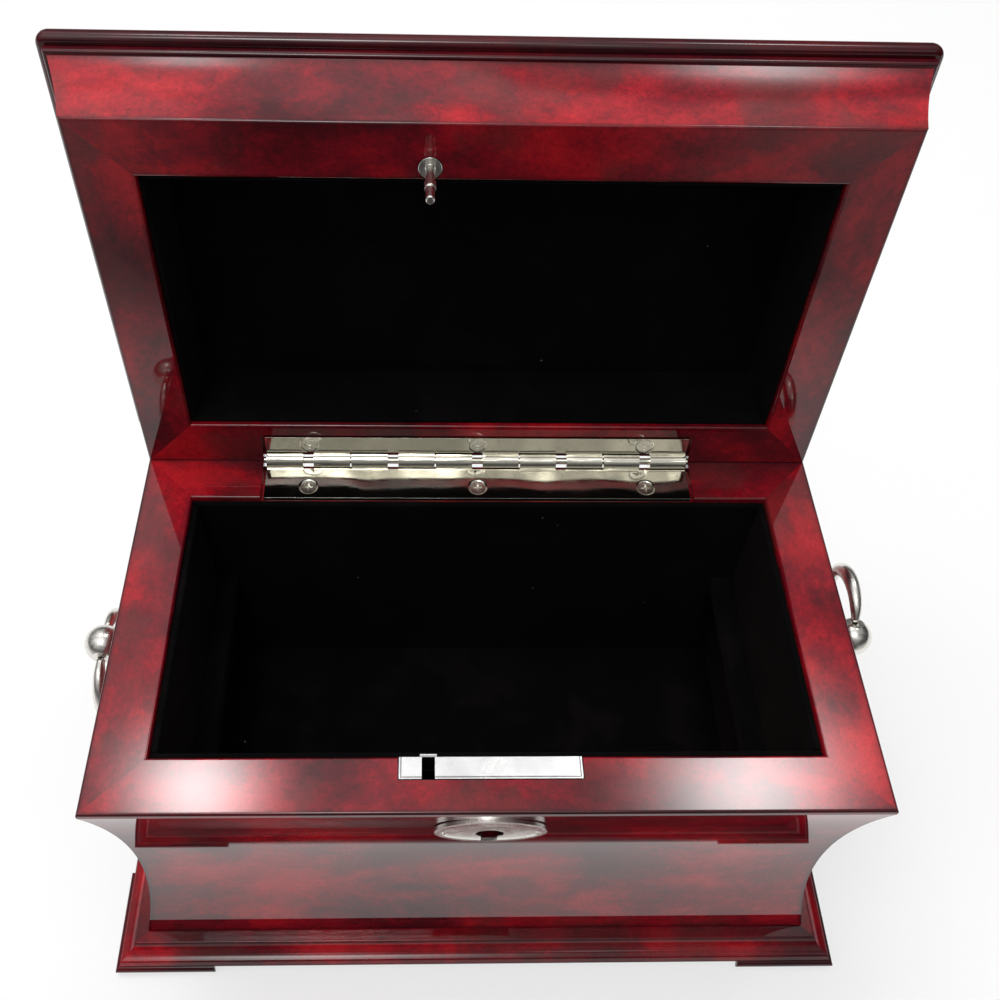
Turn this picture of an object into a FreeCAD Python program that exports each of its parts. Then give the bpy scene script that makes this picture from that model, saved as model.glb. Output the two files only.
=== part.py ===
import FreeCAD, Part

import math
import os
import re
import Sketcher

# Jewelry chest with a hinged lid, standing on bracket feet, in millimetres.
# X runs along the chest, Y from front to back and Z up.
# The origin is on the floor, at the centre of the chest's footprint.
# The lid is drawn closed and then turned about the hinge by its open angle.

SIZES = [
    # the four walls
    ("rim_length", 280, "length of the chest over its rim"),
    ("rim_depth", 157, "depth of the chest over its rim"),
    ("rim_height", 139, "height of the rim above the floor"),
    ("wall", 20.9, "thickness of a wall at its rim"),
    ("rim_band", 2.6, "height of the upright band above the coved face"),
    ("cove_sag", 7.5, "depth of the coved face below its chord"),
    ("arris", 1.0, "rounding of the lacquered edges"),
    # base moulding and feet
    ("foot_rise", 5.0, "height of the bracket feet"),
    ("foot_reach", 13.8, "overhang of the feet beyond the rim"),
    ("foot_run", 42, "length of a foot along the chest"),
    ("foot_width", 24, "width of a foot across the moulding"),
    ("foot_taper", 6, "length of the slanted end of a foot"),
    ("foot_round", 1.8, "rounding of the feet's outer edges"),
    ("base_rise", 8.5, "height of the base moulding"),
    ("base_step", 5.3, "width of the flat step round the foot of the walls"),
    ("base_bead", 0.9, "rounding of the step's outer edge"),
    ("base_ogee_foot", 10.8, "overhang at the foot of the hollow"),
    ("base_ogee_drop", 4.3, "height of the hollow"),
    ("base_ogee_radius", 7.5, "radius of the hollow"),
    ("base_face", 12.2, "overhang of the moulding at its lower edge"),
    ("felt_radius", 6, "radius of a felt disc under a foot"),
    ("felt_thick", 0.8, "thickness of a felt disc"),
    # bottom and linings
    ("panel_thick", 4, "thickness of the bottom panel"),
    ("panel_height", 17, "height of the panel's groove above the floor"),
    ("groove", 5, "depth of the panel's groove in the walls"),
    ("panel_gap", 0.2, "clearance of the panel in its groove"),
    ("lining_thick", 2.6, "thickness of the lining boards"),
    ("lining_drop", 1.8, "depth of the lining's top edge below the rim"),
    ("lining_gap", 0.1, "clearance behind and between the linings"),
    ("pad_thick", 2, "thickness of the padded floor"),
    ("ledge_drop", 53, "depth of the tray ledges below the rim"),
    ("ledge_width", 9, "width of a tray ledge"),
    ("ledge_thick", 8, "height of a tray ledge"),
    # lid
    ("open_angle", 93.3, "angle at which the lid stands open"),
    ("rim_gap", 0.3, "gap between the closed lid and the rim"),
    ("lid_rise", 27, "height of the lid's rails"),
    ("lid_flare", 7.3, "overhang at the top of the rails"),
    ("lid_flare_radius", 160, "radius of the rails' hollow face"),
    ("bead_rise", 4, "height of the stepped fillet under the top"),
    ("bead_reach", 8.8, "overhang of the stepped fillet"),
    ("top_rise", 8, "thickness of the lid's top"),
    ("top_reach", 12, "overhang of the lid's top"),
    ("top_corner", 4, "plan radius of the top's corners"),
    ("top_nose_upper", 4.6, "rounding of the top's upper edge"),
    ("top_nose_lower", 2.6, "rounding of the top's lower edge"),
    ("top_rebate", 3.6, "depth of the hollow under the top"),
    ("lid_pad_thick", 1.5, "thickness of the velvet under the top"),
    ("lid_lining_thick", 2.0, "thickness of the lid's lining boards"),
    # hinge
    ("hinge_shift", -1, "place of the hinge's middle along the rim"),
    ("hinge_inset", 0.62, "distance of the hinge's axis in front of the rim's back edge"),
    ("knuckle", 15.3, "length of one knuckle"),
    ("knuckle_pitch", 35.7, "distance from one pair of knuckles to the next"),
    ("knuckle_space", 4.5, "gap between the knuckles of a pair"),
    ("knuckle_pairs", 5, "number of pairs of knuckles"),
    ("barrel_radius", 4.0, "outer radius of the knuckles"),
    ("barrel_gap", 0.5, "clearance round the knuckles"),
    ("pin_radius", 1.4, "radius of the hinge pin"),
    ("pin_overhang", 1.5, "length of pin beyond the end knuckles"),
    ("pin_fit", 0.05, "clearance of the pin in its knuckles"),
    ("leaf_thick", 1.8, "thickness of the hinge leaves"),
    ("leaf_sink", 0.15, "depth of the leaves below the rim"),
    ("body_leaf_width", 20.2, "width of the lower leaf"),
    ("lid_leaf_width", 13.2, "width of the upper leaf"),
    ("leaf_gap", 1.5, "gap at the ends of a leaf's housing"),
    ("hinge_screw_pitch", 70.8, "distance between hinge screws"),
    ("body_screw_inset", 14, "distance of the lower screws from the hinge axis"),
    ("lid_screw_inset", 8.4, "distance of the upper screws from the hinge axis"),
    ("screw_head", 3.4, "radius of a hinge screw's head"),
    ("screw_countersink", 1.2, "depth of a hinge screw's head"),
    ("screw_dimple", 4.3, "radius of the dimple round a hinge screw"),
    ("dimple_depth", 0.5, "depth of the dimple round a hinge screw"),
    ("screw_shank", 1.5, "radius of a screw's shank"),
    ("screw_length", 13, "length of a hinge screw"),
    ("screw_fit", 0.05, "clearance round the screws"),
    ("cross_width", 0.9, "width of a screw's cross slot"),
    ("cross_depth", 1.1, "depth of a screw's cross slot"),
    ("cross_share", 0.62, "reach of a screw's cross slot as a share of its head's radius"),
    # lock
    ("lock_length", 64.4, "length of the lock's face plate"),
    ("lock_shift", 0.3, "place of the face plate's middle along the rim"),
    ("face_width", 8.3, "width of the face plate"),
    ("plate_thick", 1.5, "thickness of the lock's plates"),
    ("lock_sink", 0.1, "depth of the plates below the wood's faces"),
    ("lock_gap", 0.3, "clearance round the lock in its housing"),
    ("lock_tail", 9.6, "height of the lock's back plate below the keyhole's centre"),
    ("case_left", -25.5, "left side of the lock's case"),
    ("case_right", 16, "right side of the lock's case"),
    ("case_wall", 1.0, "thickness of the case's walls"),
    ("case_depth", 7.2, "depth of the case in front of the back plate"),
    ("slot_width", 4.6, "width of the slot for the strike pin"),
    ("slot_drop", 8, "depth of the slot below the rim"),
    ("slot_lip", 1.1, "width of the lip behind the slot"),
    ("slot_side", 0.7, "width of the lip beside the slot"),
    ("bolt_thick", 1.6, "thickness of the sliding bolt's plate"),
    ("bolt_gap", 0.2, "clearance of the bolt in its case"),
    ("bolt_height", 5.6, "height of the bolt's fork and bar"),
    ("bolt_travel", 3.6, "travel of the bolt"),
    ("bolt_leg", 3, "width of a leg of the bolt's foot"),
    ("fork_gap", 3.6, "gap between the bolt's prongs"),
    ("fork_depth", 4.4, "depth of the gap between the prongs"),
    ("guide_left", -14, "left end of the rib that guides the bolt"),
    ("guide_right", -6.5, "right end of the rib that guides the bolt"),
    ("guide_thick", 1.2, "thickness of the rib that guides the bolt"),
    ("lock_screw", 1.2, "radius of a lock screw's shank"),
    ("lock_screw_head", 2.3, "radius of a lock screw's head"),
    ("lock_screw_sink", 1.1, "depth of a lock screw's head"),
    ("lock_screw_long", 10, "length of a lock screw"),
    ("lock_screw_offset", 29.2, "distance of the lock screws from the plate's middle"),
    ("lock_screw_inset", 7, "distance of the lock screws from the plate's ends"),
    ("crank", 4.5, "distance of the cam's peg from its axis"),
    ("cam_radius", 3, "radius of the key cam"),
    ("cam_web", 1.6, "thickness of the cam's disc"),
    ("cam_peg", 1.0, "radius of the cam's peg"),
    ("cam_pivot", 1.5, "radius of the cam's pivot"),
    ("cam_slot", 1.2, "width of the key's slot in the cam"),
    ("key_shift", 0.8, "place of the keyhole along the chest"),
    ("key_drop", 28.4, "depth of the keyhole's centre below the rim"),
    ("key_bore", 5.1, "radius of the keyhole"),
    ("key_slot", 6, "width of the keyhole's slot"),
    ("key_slot_drop", 8.8, "depth of the slot below the keyhole's centre"),
    # escutcheon and strike pin
    ("shield_half_width", 20.15, "half width of the escutcheon"),
    ("shield_half_height", 15.8, "half height of the escutcheon"),
    ("shield_lift", 5.9, "height of the escutcheon's centre above the keyhole's"),
    ("shield_thick", 1.3, "thickness of the escutcheon"),
    ("shield_dish", 0.8, "depth of the escutcheon's dish"),
    ("shield_rim", 1.8, "width of the escutcheon's rim"),
    ("shield_pin_offset", 16.9, "distance of its pins from its centre"),
    ("shield_pin_drop", 3.5, "depth of its pins below its centre"),
    ("shield_pin", 0.9, "radius of an escutcheon pin"),
    ("shield_pin_long", 6, "length of an escutcheon pin in the wood"),
    ("strike_shift", -21.5, "place of the strike pin along the lid"),
    ("strike_line", 4.5, "distance of the strike pin in front of the wall's inner face"),
    ("strike_flange", 4, "radius of the strike pin's flange"),
    ("strike_flange_thick", 1.0, "thickness of the strike pin's flange"),
    ("strike_flange_proud", 0.15, "height of the flange above the lid's rim"),
    ("strike_shank", 1.6, "radius of the strike pin"),
    ("strike_bead", 2.0, "radius of the strike pin's bead"),
    ("strike_bead_top", 8.5, "distance of the bead from the lid's rim"),
    ("strike_bead_long", 4, "length of the bead"),
    ("strike_long", 19, "length of the strike pin below the lid's rim"),
    ("strike_root", 12, "length of the strike pin's thread"),
    # handles
    ("handle_height", 121.4, "height of the handles' posts"),
    ("handle_shift", 1.5, "distance of the handles from the middle of their sides"),
    ("ball_out", 8.2, "distance of a ball's centre from the rim's edge"),
    ("ball_radius", 7.4, "radius of a handle's ball"),
    ("ball_flat", 6.5, "distance of a ball's flats from its centre"),
    ("neck_radius", 3.6, "radius of the neck behind a ball"),
    ("post_radius", 2.5, "radius of a handle's post"),
    ("post_fit", 0.06, "clearance of the post in its rosette and wall"),
    ("rosette_radius", 6.5, "radius of a rosette"),
    ("rosette_thick", 3.0, "thickness of a rosette"),
    ("rosette_seat", 5.0, "depth of the rosette's flat seat behind the rim's edge"),
    ("rosette_gap", 0.2, "gap between a rosette and its neck"),
    ("nut_radius", 5.6, "radius of a nut's flange"),
    ("nut_thick", 4.2, "thickness of a nut with its flange"),
    ("nut_flange", 1.05, "thickness of a nut's flange"),
    ("nut_pocket", 6.4, "radius of the pocket for a nut"),
    ("nut_sink", 5.2, "depth of the pocket for a nut"),
    ("ring_half_gap", 4.9, "half the straight length of a ring's far side"),
    ("ring_bend", 15.2, "radius of a ring's two bends"),
    ("ring_rod", 2.5, "radius of a ring's rod"),
    ("ring_start", 7.4, "distance of a ring's ends from the ball's centre"),
    ("peg_radius", 1.0, "radius of a ring's pegs"),
    ("peg_fit", 0.06, "clearance of the pegs in the ball"),
    ("peg_reach", 4.4, "distance of a peg's tip from the ball's centre"),
    ("left_turn", 0, "turn of the left handle about its post"),
    ("right_turn", 64, "turn of the right handle about its post"),
    # tools of the drawing
    ("overrun", 2, "length by which a cut runs past the wood"),
]

document = FreeCAD.newDocument("jewelry_chest")
sheet = document.addObject("Spreadsheet::Sheet", "Sizes")
for row, (alias, size, meaning) in enumerate(SIZES, start=1):
    sheet.set(f"A{row}", meaning)
    sheet.set(f"B{row}", str(size))
    sheet.setAlias(f"B{row}", alias)
document.recompute()

ALIASES = re.compile(r"\b(" + "|".join(alias for alias, _, _ in SIZES) + r")\b")
nodes = []
cuts = []


# Sizes and formulas

def formula(text):
    """The formula with each size read from the sheet."""
    return ALIASES.sub(r"Sizes.\1", str(text))


def number(text):
    """The present value of a formula."""
    return float(sheet.evalExpression(formula(text)))


def bind(item, target, text):
    """Tie a property of an object to a formula."""
    item.setExpression(target, formula(text))


# Places

LID_TURN = (
    "placement(vector(0; rim_depth / 2 - hinge_inset; rim_height + rim_gap / 2);"
    " rotation(vector(1; 0; 0); -open_angle))"
    " * placement(vector(0; hinge_inset - rim_depth / 2; -rim_height - rim_gap / 2);"
    " rotation(vector(1; 0; 0); 0))"
)


def spot(across, along, up, axis="1; 0; 0", turn="0"):
    """A place in the chest, turned about an axis."""
    return f"placement(vector({across}; {along}; {up}); rotation(vector({axis}); {turn}))"


def put(item, *places):
    """Put a finished piece at the product of its places."""
    bind(item, "Placement", " * ".join(places) if places else spot(0, 0, 0))


def keep(item, label, *places):
    """Name a finished piece as a node and put it in its place."""
    item.Label = label
    put(item, *places)
    nodes.append(item)
    return item


# Sketches and features

def arc_through(start, end, radius, side):
    """Centre and counterclockwise angles of the shorter arc from start to end."""
    chord = end - start
    rise = math.sqrt(max(radius ** 2 - chord.Length ** 2 / 4, 0))
    left = FreeCAD.Vector(-chord.y, chord.x, 0).normalize()
    centre = (start + end) / 2 + left * rise * side
    first = math.atan2(start.y - centre.y, start.x - centre.x)
    last = math.atan2(end.y - centre.y, end.x - centre.x)
    return centre, first, last


def draw_loop(drawing, corners):
    """A closed outline; a corner with a radius and a side starts an arc to the next."""
    points = [FreeCAD.Vector(number(c[0]), number(c[1]), 0) for c in corners]
    ends = []
    for index, corner in enumerate(corners):
        start = points[index]
        end = points[(index + 1) % len(points)]
        if len(corner) == 2:
            edge = drawing.addGeometry(Part.LineSegment(start, end))
            ends.append((edge, 1, 2))
            continue
        radius, side = corner[2:]
        centre, first, last = arc_through(start, end, number(radius), side)
        circle = Part.Circle(centre, FreeCAD.Vector(0, 0, 1), number(radius))
        if side > 0:
            edge = drawing.addGeometry(Part.ArcOfCircle(circle, first, last))
            ends.append((edge, 1, 2))
        else:
            edge = drawing.addGeometry(Part.ArcOfCircle(circle, last, first))
            ends.append((edge, 2, 1))
    for index, (edge, first_end, last_end) in enumerate(ends):
        following = ends[(index + 1) % len(ends)]
        drawing.addConstraint(
            Sketcher.Constraint("Coincident", edge, last_end, following[0], following[1]))
        fix_point(drawing, edge, first_end, corners[index][0], corners[index][1])
        if len(corners[index]) > 2:
            radius = corners[index][2]
            held = drawing.addConstraint(Sketcher.Constraint("Radius", edge, number(radius)))
            bind(drawing, f"Constraints[{held}]", radius)


def fix_point(drawing, edge, end, across, up):
    """Hold a point of the drawing at a place given by two formulas."""
    for kind, text in (("DistanceX", across), ("DistanceY", up)):
        held = drawing.addConstraint(
            Sketcher.Constraint(kind, -1, 1, edge, end, number(text)))
        bind(drawing, f"Constraints[{held}]", text)


def draw_circle(drawing, across, up, radius):
    """A circle whose centre and radius are formulas."""
    centre = FreeCAD.Vector(number(across), number(up), 0)
    edge = drawing.addGeometry(
        Part.Circle(centre, FreeCAD.Vector(0, 0, 1), number(radius)))
    fix_point(drawing, edge, 3, across, up)
    held = drawing.addConstraint(Sketcher.Constraint("Radius", edge, number(radius)))
    bind(drawing, f"Constraints[{held}]", radius)


def plane_of(body, role):
    """One of a body's own origin planes or axes."""
    return next(item for item in body.Origin.OriginFeatures if item.Role == role)


def sketch(body, role, *shapes, lift="0", place=None):
    """A sketch on an origin plane, lifted along its normal or put at a place of its own."""
    drawing = body.newObject("Sketcher::SketchObject", "outline")
    drawing.AttachmentSupport = [(plane_of(body, role), "")]
    drawing.MapMode = "FlatFace"
    bind(drawing, "AttachmentOffset", place or spot(0, 0, lift))
    for shape in shapes:
        if isinstance(shape, tuple):
            draw_circle(drawing, *shape)
        else:
            draw_loop(drawing, shape)
    return drawing


def pad(body, drawing, length, side="One side", backwards=False):
    """Carry a sketch along its normal."""
    feature = body.newObject("PartDesign::Pad", "pad")
    feature.Profile = drawing
    feature.SideType = side
    feature.Reversed = backwards
    bind(feature, "Length", length)
    return feature


def pocket(body, drawing, depth=None, backwards=False):
    """Cut a sketch out of the body: right through, or to a depth."""
    feature = body.newObject("PartDesign::Pocket", "pocket")
    feature.Profile = drawing
    if depth is None:
        feature.SideType = "Symmetric"
        feature.Type = "ThroughAll"
    else:
        feature.Reversed = backwards
        bind(feature, "Length", depth)
    cuts.append(feature)
    return feature


def turned(body, drawing, axis, kind="PartDesign::Revolution"):
    """Turn a sketch once round an axis of its own."""
    feature = body.newObject(kind, "turned")
    feature.Profile = drawing
    feature.ReferenceAxis = (drawing, [axis])
    feature.Angle = 360
    if kind == "PartDesign::Groove":
        cuts.append(feature)
    return feature


def row_of(body, features, role, length, count):
    """Repeat features in a straight row."""
    pattern = body.newObject("PartDesign::LinearPattern", "row")
    pattern.Originals = features
    pattern.Direction = (plane_of(body, role), [""])
    bind(pattern, "Length", length)
    bind(pattern, "Occurrences", count)
    body.Tip = pattern
    return pattern


def rounded(body, radius, chosen):
    """Round the edges of the body that a test chooses."""
    document.recompute()
    base = body.Tip
    names = [
        f"Edge{index}"
        for index, edge in enumerate(base.Shape.Edges, start=1)
        if chosen(edge)
    ]
    feature = body.newObject("PartDesign::Fillet", "rounding")
    feature.Base = (base, names)
    bind(feature, "Radius", radius)
    return feature


def new_body():
    """An empty body."""
    return document.addObject("PartDesign::Body", "body")


def box(left, right, front, back, bottom, top):
    """A block between three pairs of formulas."""
    block = document.addObject("Part::Box", "block")
    bind(block, "Length", f"({right}) - ({left})")
    bind(block, "Width", f"({back}) - ({front})")
    bind(block, "Height", f"({top}) - ({bottom})")
    put(block, spot(left, front, bottom))
    return block


def placed_box(label, left, right, front, back, bottom, top, *places):
    """A block that is a node by itself, carried by further places."""
    block = box(left, right, front, back, bottom, top)
    keep(block, label, *places, spot(left, front, bottom))
    return block


def rod(radius, length, *places):
    """A plain round bar along its own Z."""
    bar = document.addObject("Part::Cylinder", "bar")
    bind(bar, "Radius", radius)
    bind(bar, "Height", length)
    put(bar, *places)
    return bar


def cone(foot, tip, length, *places):
    """A cone along its own Z."""
    shape = document.addObject("Part::Cone", "cone")
    bind(shape, "Radius1", foot)
    bind(shape, "Radius2", tip)
    bind(shape, "Height", length)
    put(shape, *places)
    return shape


def joined(*pieces):
    """Several overlapping solids as one."""
    union = document.addObject("Part::MultiFuse", "joined")
    union.Shapes = list(pieces)
    union.Refine = True
    return union


def less(base, *tools):
    """A solid with others cut away from it."""
    for tool in tools:
        cut = document.addObject("Part::Cut", "less")
        cut.Base = base
        cut.Tool = tool
        base = cut
    return base


def group_of(*pieces):
    """Identical separate solids that share a node."""
    cluster = document.addObject("Part::Compound", "group")
    cluster.Links = list(pieces)
    return cluster


# Sides of the frames
# Each side is drawn with X along it, Y outwards from the rim's edge and Z up.

HINGE_LENGTH = "(knuckle_pitch * (knuckle_pairs - 1) + 2 * knuckle + knuckle_space)"
HINGE_LEFT = f"hinge_shift - {HINGE_LENGTH} / 2 - leaf_gap"
HINGE_RIGHT = f"hinge_shift + {HINGE_LENGTH} / 2 + leaf_gap"
LOCK_DROP = "(key_drop + lock_tail)"
LOCK_SCREW_HEIGHTS = (
    "rim_height - lock_screw_inset",
    f"rim_height - {LOCK_DROP} + lock_screw_inset",
)

SIDES = {
    "front": ("rim_length", spot(0, "-rim_depth / 2", 0, "0; 0; 1", "180")),
    "back": ("rim_length", spot(0, "rim_depth / 2", 0)),
    "left": ("rim_depth", spot("-rim_length / 2", 0, 0, "0; 0; 1", "90")),
    "right": ("rim_depth", spot("rim_length / 2", 0, 0, "0; 0; 1", "-90")),
}


def mitred_side(side, outline, reach):
    """A length of moulding, mitred at both ends where the next side meets it."""
    run = SIDES[side][0]
    body = new_body()
    profile = sketch(body, "YZ_Plane", outline)
    pad(body, profile, f"{run} + 2 * ({reach} + overrun)", "Symmetric")
    near = "-wall - overrun"
    far = f"{reach} + overrun"
    ends = []
    for way in ("-1", "1"):
        ends.append([
            (f"{way} * ({run} / 2 + ({near}))", near),
            (f"{way} * ({run} / 2 + {far})", far),
            (f"{way} * ({run} / 2 + {far} + overrun)", far),
            (f"{way} * ({run} / 2 + {far} + overrun)", near),
        ])
    pocket(body, sketch(body, "XY_Plane", *ends))
    return body


BASE_TOP = "(foot_rise + base_rise)"
COVE_LOW = "(foot_rise + base_rise + arris)"
COVE_HIGH = "(rim_height - rim_band)"
COVE_RADIUS = f"((({COVE_HIGH} - {COVE_LOW}) ^ 2 / 4 + cove_sag ^ 2) / (2 * cove_sag))"
COVE_MIDDLE = f"(({COVE_LOW} + {COVE_HIGH}) / 2)"


def cove_depth(height):
    """How far the coved face lies behind the rim's edge at a height."""
    return f"(cove_sag - {COVE_RADIUS} + sqrt({COVE_RADIUS} ^ 2 - ({height} - {COVE_MIDDLE}) ^ 2))"


def cove_lean(height):
    """Angle by which the coved face leans outwards at a height."""
    return f"asin(({height} - {COVE_MIDDLE}) / {COVE_RADIUS})"


SHIELD_HEIGHT = "(rim_height - key_drop + shield_lift)"
SHIELD_LEAN = cove_lean(SHIELD_HEIGHT)
SHIELD_DEPTH = f"({cove_depth(SHIELD_HEIGHT)} - shield_half_height ^ 2 / (2 * {COVE_RADIUS}))"


def wall_outline():
    """Section of a wall, with the groove for the bottom panel."""
    return [
        ("-wall", BASE_TOP),
        ("-arris", BASE_TOP, "arris", 1),
        ("0", COVE_LOW, COVE_RADIUS, -1),
        ("0", COVE_HIGH),
        ("0", "rim_height - arris", "arris", 1),
        ("-arris", "rim_height"),
        ("arris - wall", "rim_height", "arris", 1),
        ("-wall", "rim_height - arris"),
        ("-wall", "panel_height + panel_thick + panel_gap"),
        ("groove - wall", "panel_height + panel_thick + panel_gap"),
        ("groove - wall", "panel_height - panel_gap"),
        ("-wall", "panel_height - panel_gap"),
    ]


def base_outline():
    """Section of the base moulding: a step, a hollow and an upright face."""
    return [
        ("-wall", "foot_rise"),
        ("base_face", "foot_rise"),
        ("base_ogee_foot + arris / 2", f"{BASE_TOP} - base_bead - base_ogee_drop - arris / 2"),
        ("base_ogee_foot", f"{BASE_TOP} - base_bead - base_ogee_drop", "base_ogee_radius", -1),
        ("base_step", f"{BASE_TOP} - base_bead", "base_bead", 1),
        ("base_step - base_bead", BASE_TOP),
        ("-wall", BASE_TOP),
    ]


LID_FOOT = "rim_height + rim_gap"
LID_RAIL_TOP = "rim_height + lid_rise"


def lid_outline():
    """Section of a lid rail, flaring out towards the lid's top."""
    return [
        ("arris - wall", LID_FOOT),
        ("-arris", LID_FOOT, "arris", 1),
        ("0", f"{LID_FOOT} + arris", "lid_flare_radius", -1),
        ("lid_flare", LID_RAIL_TOP),
        ("-wall", LID_RAIL_TOP),
        ("-wall", f"{LID_FOOT} + arris", "arris", 1),
    ]


def make_walls():
    """Four coved walls, with housings for the lock, the hinge and the handles."""
    for side in SIDES:
        body = mitred_side(side, wall_outline(), "arris")
        if side == "front":
            house_lock(body)
        elif side == "back":
            house_lower_leaf(body)
        else:
            house_handle(body)
        keep(body, f"{side}_wall", SIDES[side][1])


def strip(left, right, near, far):
    """A rectangle between two pairs of formulas."""
    return [(left, near), (right, near), (right, far), (left, far)]


def keyhole(middle, height, clearance="0"):
    """The round hole and the slot below it, as two outlines."""
    hole = (middle, height, f"key_bore + {clearance}")
    slot = strip(f"{middle} - key_slot / 2 - {clearance}", f"{middle} + key_slot / 2 + {clearance}",
                 f"{height} - key_slot_drop", height)
    return hole, slot


def house_lock(body):
    """Cut the lock's housing and the keyhole; X runs the other way on the front."""
    left = "-lock_shift - lock_length / 2 - lock_gap"
    right = "-lock_shift + lock_length / 2 + lock_gap"
    inner = "-wall - overrun"
    plate_room = "plate_thick + lock_sink + lock_gap"
    face = strip(left, right, inner, "face_width + lock_sink + lock_gap - wall")
    pocket(body, sketch(body, "XY_Plane", face, lift="rim_height"), plate_room)
    back = strip(left, right, inner, f"{plate_room} - wall")
    pocket(body, sketch(body, "XY_Plane", back, lift="rim_height"), f"{LOCK_DROP} + lock_gap")
    case = strip("-case_right - lock_gap", "-case_left + lock_gap", inner,
                 f"{plate_room} + case_depth - wall")
    pocket(body, sketch(body, "XY_Plane", case, lift="rim_height - plate_thick - lock_sink"),
           f"{LOCK_DROP} + lock_gap - plate_thick - lock_sink")
    for outline in keyhole("-key_shift", "rim_height - key_drop"):
        pocket(body, sketch(body, "XZ_Plane", outline, lift="wall - plate_thick - case_depth"),
               "wall")
    pilots = [
        (f"-lock_shift + {way} * lock_screw_offset", height, "lock_screw + screw_fit")
        for way in ("-1", "1")
        for height in LOCK_SCREW_HEIGHTS
    ]
    pocket(body, sketch(body, "XZ_Plane", *pilots, lift="wall"), "lock_screw_long + overrun")
    pins = [
        (f"{way} * shield_pin_offset", "-shield_pin_drop", "shield_pin + screw_fit")
        for way in ("-1", "1")
    ]
    shield = spot("-key_shift", SHIELD_HEIGHT, SHIELD_DEPTH, "1; 0; 0", f"-{SHIELD_LEAN}")
    pocket(body, sketch(body, "XZ_Plane", *pins, place=shield), "shield_pin_long + screw_fit",
           backwards=True)


def house_lower_leaf(body):
    """Cut the lower leaf's housing, the trough of the barrel and the screw holes."""
    leaf = strip(HINGE_LEFT, HINGE_RIGHT, "-wall - overrun", "overrun")
    pocket(body, sketch(body, "XY_Plane", leaf, lift="rim_height"), "leaf_sink + leaf_thick")
    trough = strip(HINGE_LEFT, HINGE_RIGHT, "-hinge_inset - barrel_radius - barrel_gap", "overrun")
    pocket(body, sketch(body, "XY_Plane", trough, lift="rim_height"),
           "barrel_radius + barrel_gap - rim_gap / 2")
    pocket(body, sketch(body, "XY_Plane", *pilot_row("-hinge_inset - body_screw_inset"), lift="rim_height"),
           "screw_length + overrun")


SCREW_STEPS = ("-1", "0", "1")


def pilot_row(along):
    """Three holes under the hinge screws."""
    return [
        (f"hinge_shift + {step} * hinge_screw_pitch", along, "screw_shank + screw_fit")
        for step in SCREW_STEPS
    ]


def house_handle(body):
    """Bore a side wall for the handle's post, its rosette and its nut."""
    post = ("-handle_shift", "handle_height", "post_radius + post_fit")
    pocket(body, sketch(body, "XZ_Plane", post))
    seat = ("-handle_shift", "handle_height", "rosette_radius + rosette_gap")
    pocket(body, sketch(body, "XZ_Plane", seat, lift="rosette_seat"), "rosette_seat + overrun")
    nut = ("-handle_shift", "handle_height", "nut_pocket")
    pocket(body, sketch(body, "XZ_Plane", nut, lift="wall - nut_sink"), "nut_sink + overrun",
           backwards=True)


def make_base():
    """A mitred moulding under the walls, and a bracket foot under each corner."""
    for side in SIDES:
        keep(mitred_side(side, base_outline(), "base_face"), f"base_{side}", SIDES[side][1])
    corners = {
        "front_left": ("-1", "-1", "0"),
        "front_right": ("1", "-1", "90"),
        "back_right": ("1", "1", "180"),
        "back_left": ("-1", "1", "270"),
    }
    felts = []
    for name, (across, along, turn) in corners.items():
        body = new_body()
        plan = [
            ("0", "0"),
            ("foot_run", "0"),
            ("foot_run - foot_taper", "foot_width"),
            ("foot_width", "foot_width"),
            ("foot_width", "foot_run - foot_taper"),
            ("0", "foot_run"),
        ]
        pad(body, sketch(body, "XY_Plane", plan), "foot_rise - felt_thick")
        rounded(body, "foot_round", lambda edge: on_outer_arris(edge, number("foot_run")))
        keep(body, f"foot_{name}",
             spot(f"{across} * (rim_length / 2 + foot_reach)",
                  f"{along} * (rim_depth / 2 + foot_reach)", "felt_thick", "0; 0; 1", turn))
        inset = "foot_reach - foot_width / 2"
        felts.append(rod("felt_radius", "felt_thick",
                         spot(f"{across} * (rim_length / 2 + {inset})",
                              f"{along} * (rim_depth / 2 + {inset})", 0)))
    keep(group_of(*felts), "foot_felts")


def on_outer_arris(edge, run):
    """Whether an edge is one of the long level ones on a foot's two outer faces."""
    box_of = edge.BoundBox
    level = box_of.ZLength < 1e-6
    outer = box_of.XMax < 1e-6 or box_of.YMax < 1e-6
    return level and outer and edge.Length > run / 2


PANEL_TOP = "panel_height + panel_thick"
OPEN_X = "(rim_length / 2 - wall)"
OPEN_Y = "(rim_depth / 2 - wall)"


def make_linings(prefix, thick, bottom, top, *places):
    """Four lining boards round a rectangular hollow: two long and two between them."""
    long_x = f"{OPEN_X} - lining_gap"
    outer_y = f"{OPEN_Y} - lining_gap"
    inner_y = f"{OPEN_Y} - 2 * lining_gap - {thick}"
    placed_box(f"{prefix}_front", f"-({long_x})", long_x, f"-({outer_y})",
               f"-({outer_y}) + {thick}", bottom, top, *places)
    placed_box(f"{prefix}_back", f"-({long_x})", long_x, f"{outer_y} - {thick}", outer_y,
               bottom, top, *places)
    placed_box(f"{prefix}_left", f"-({long_x})", f"-({long_x}) + {thick}", f"-({inner_y})",
               inner_y, bottom, top, *places)
    placed_box(f"{prefix}_right", f"{long_x} - {thick}", long_x, f"-({inner_y})", inner_y,
               bottom, top, *places)


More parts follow.
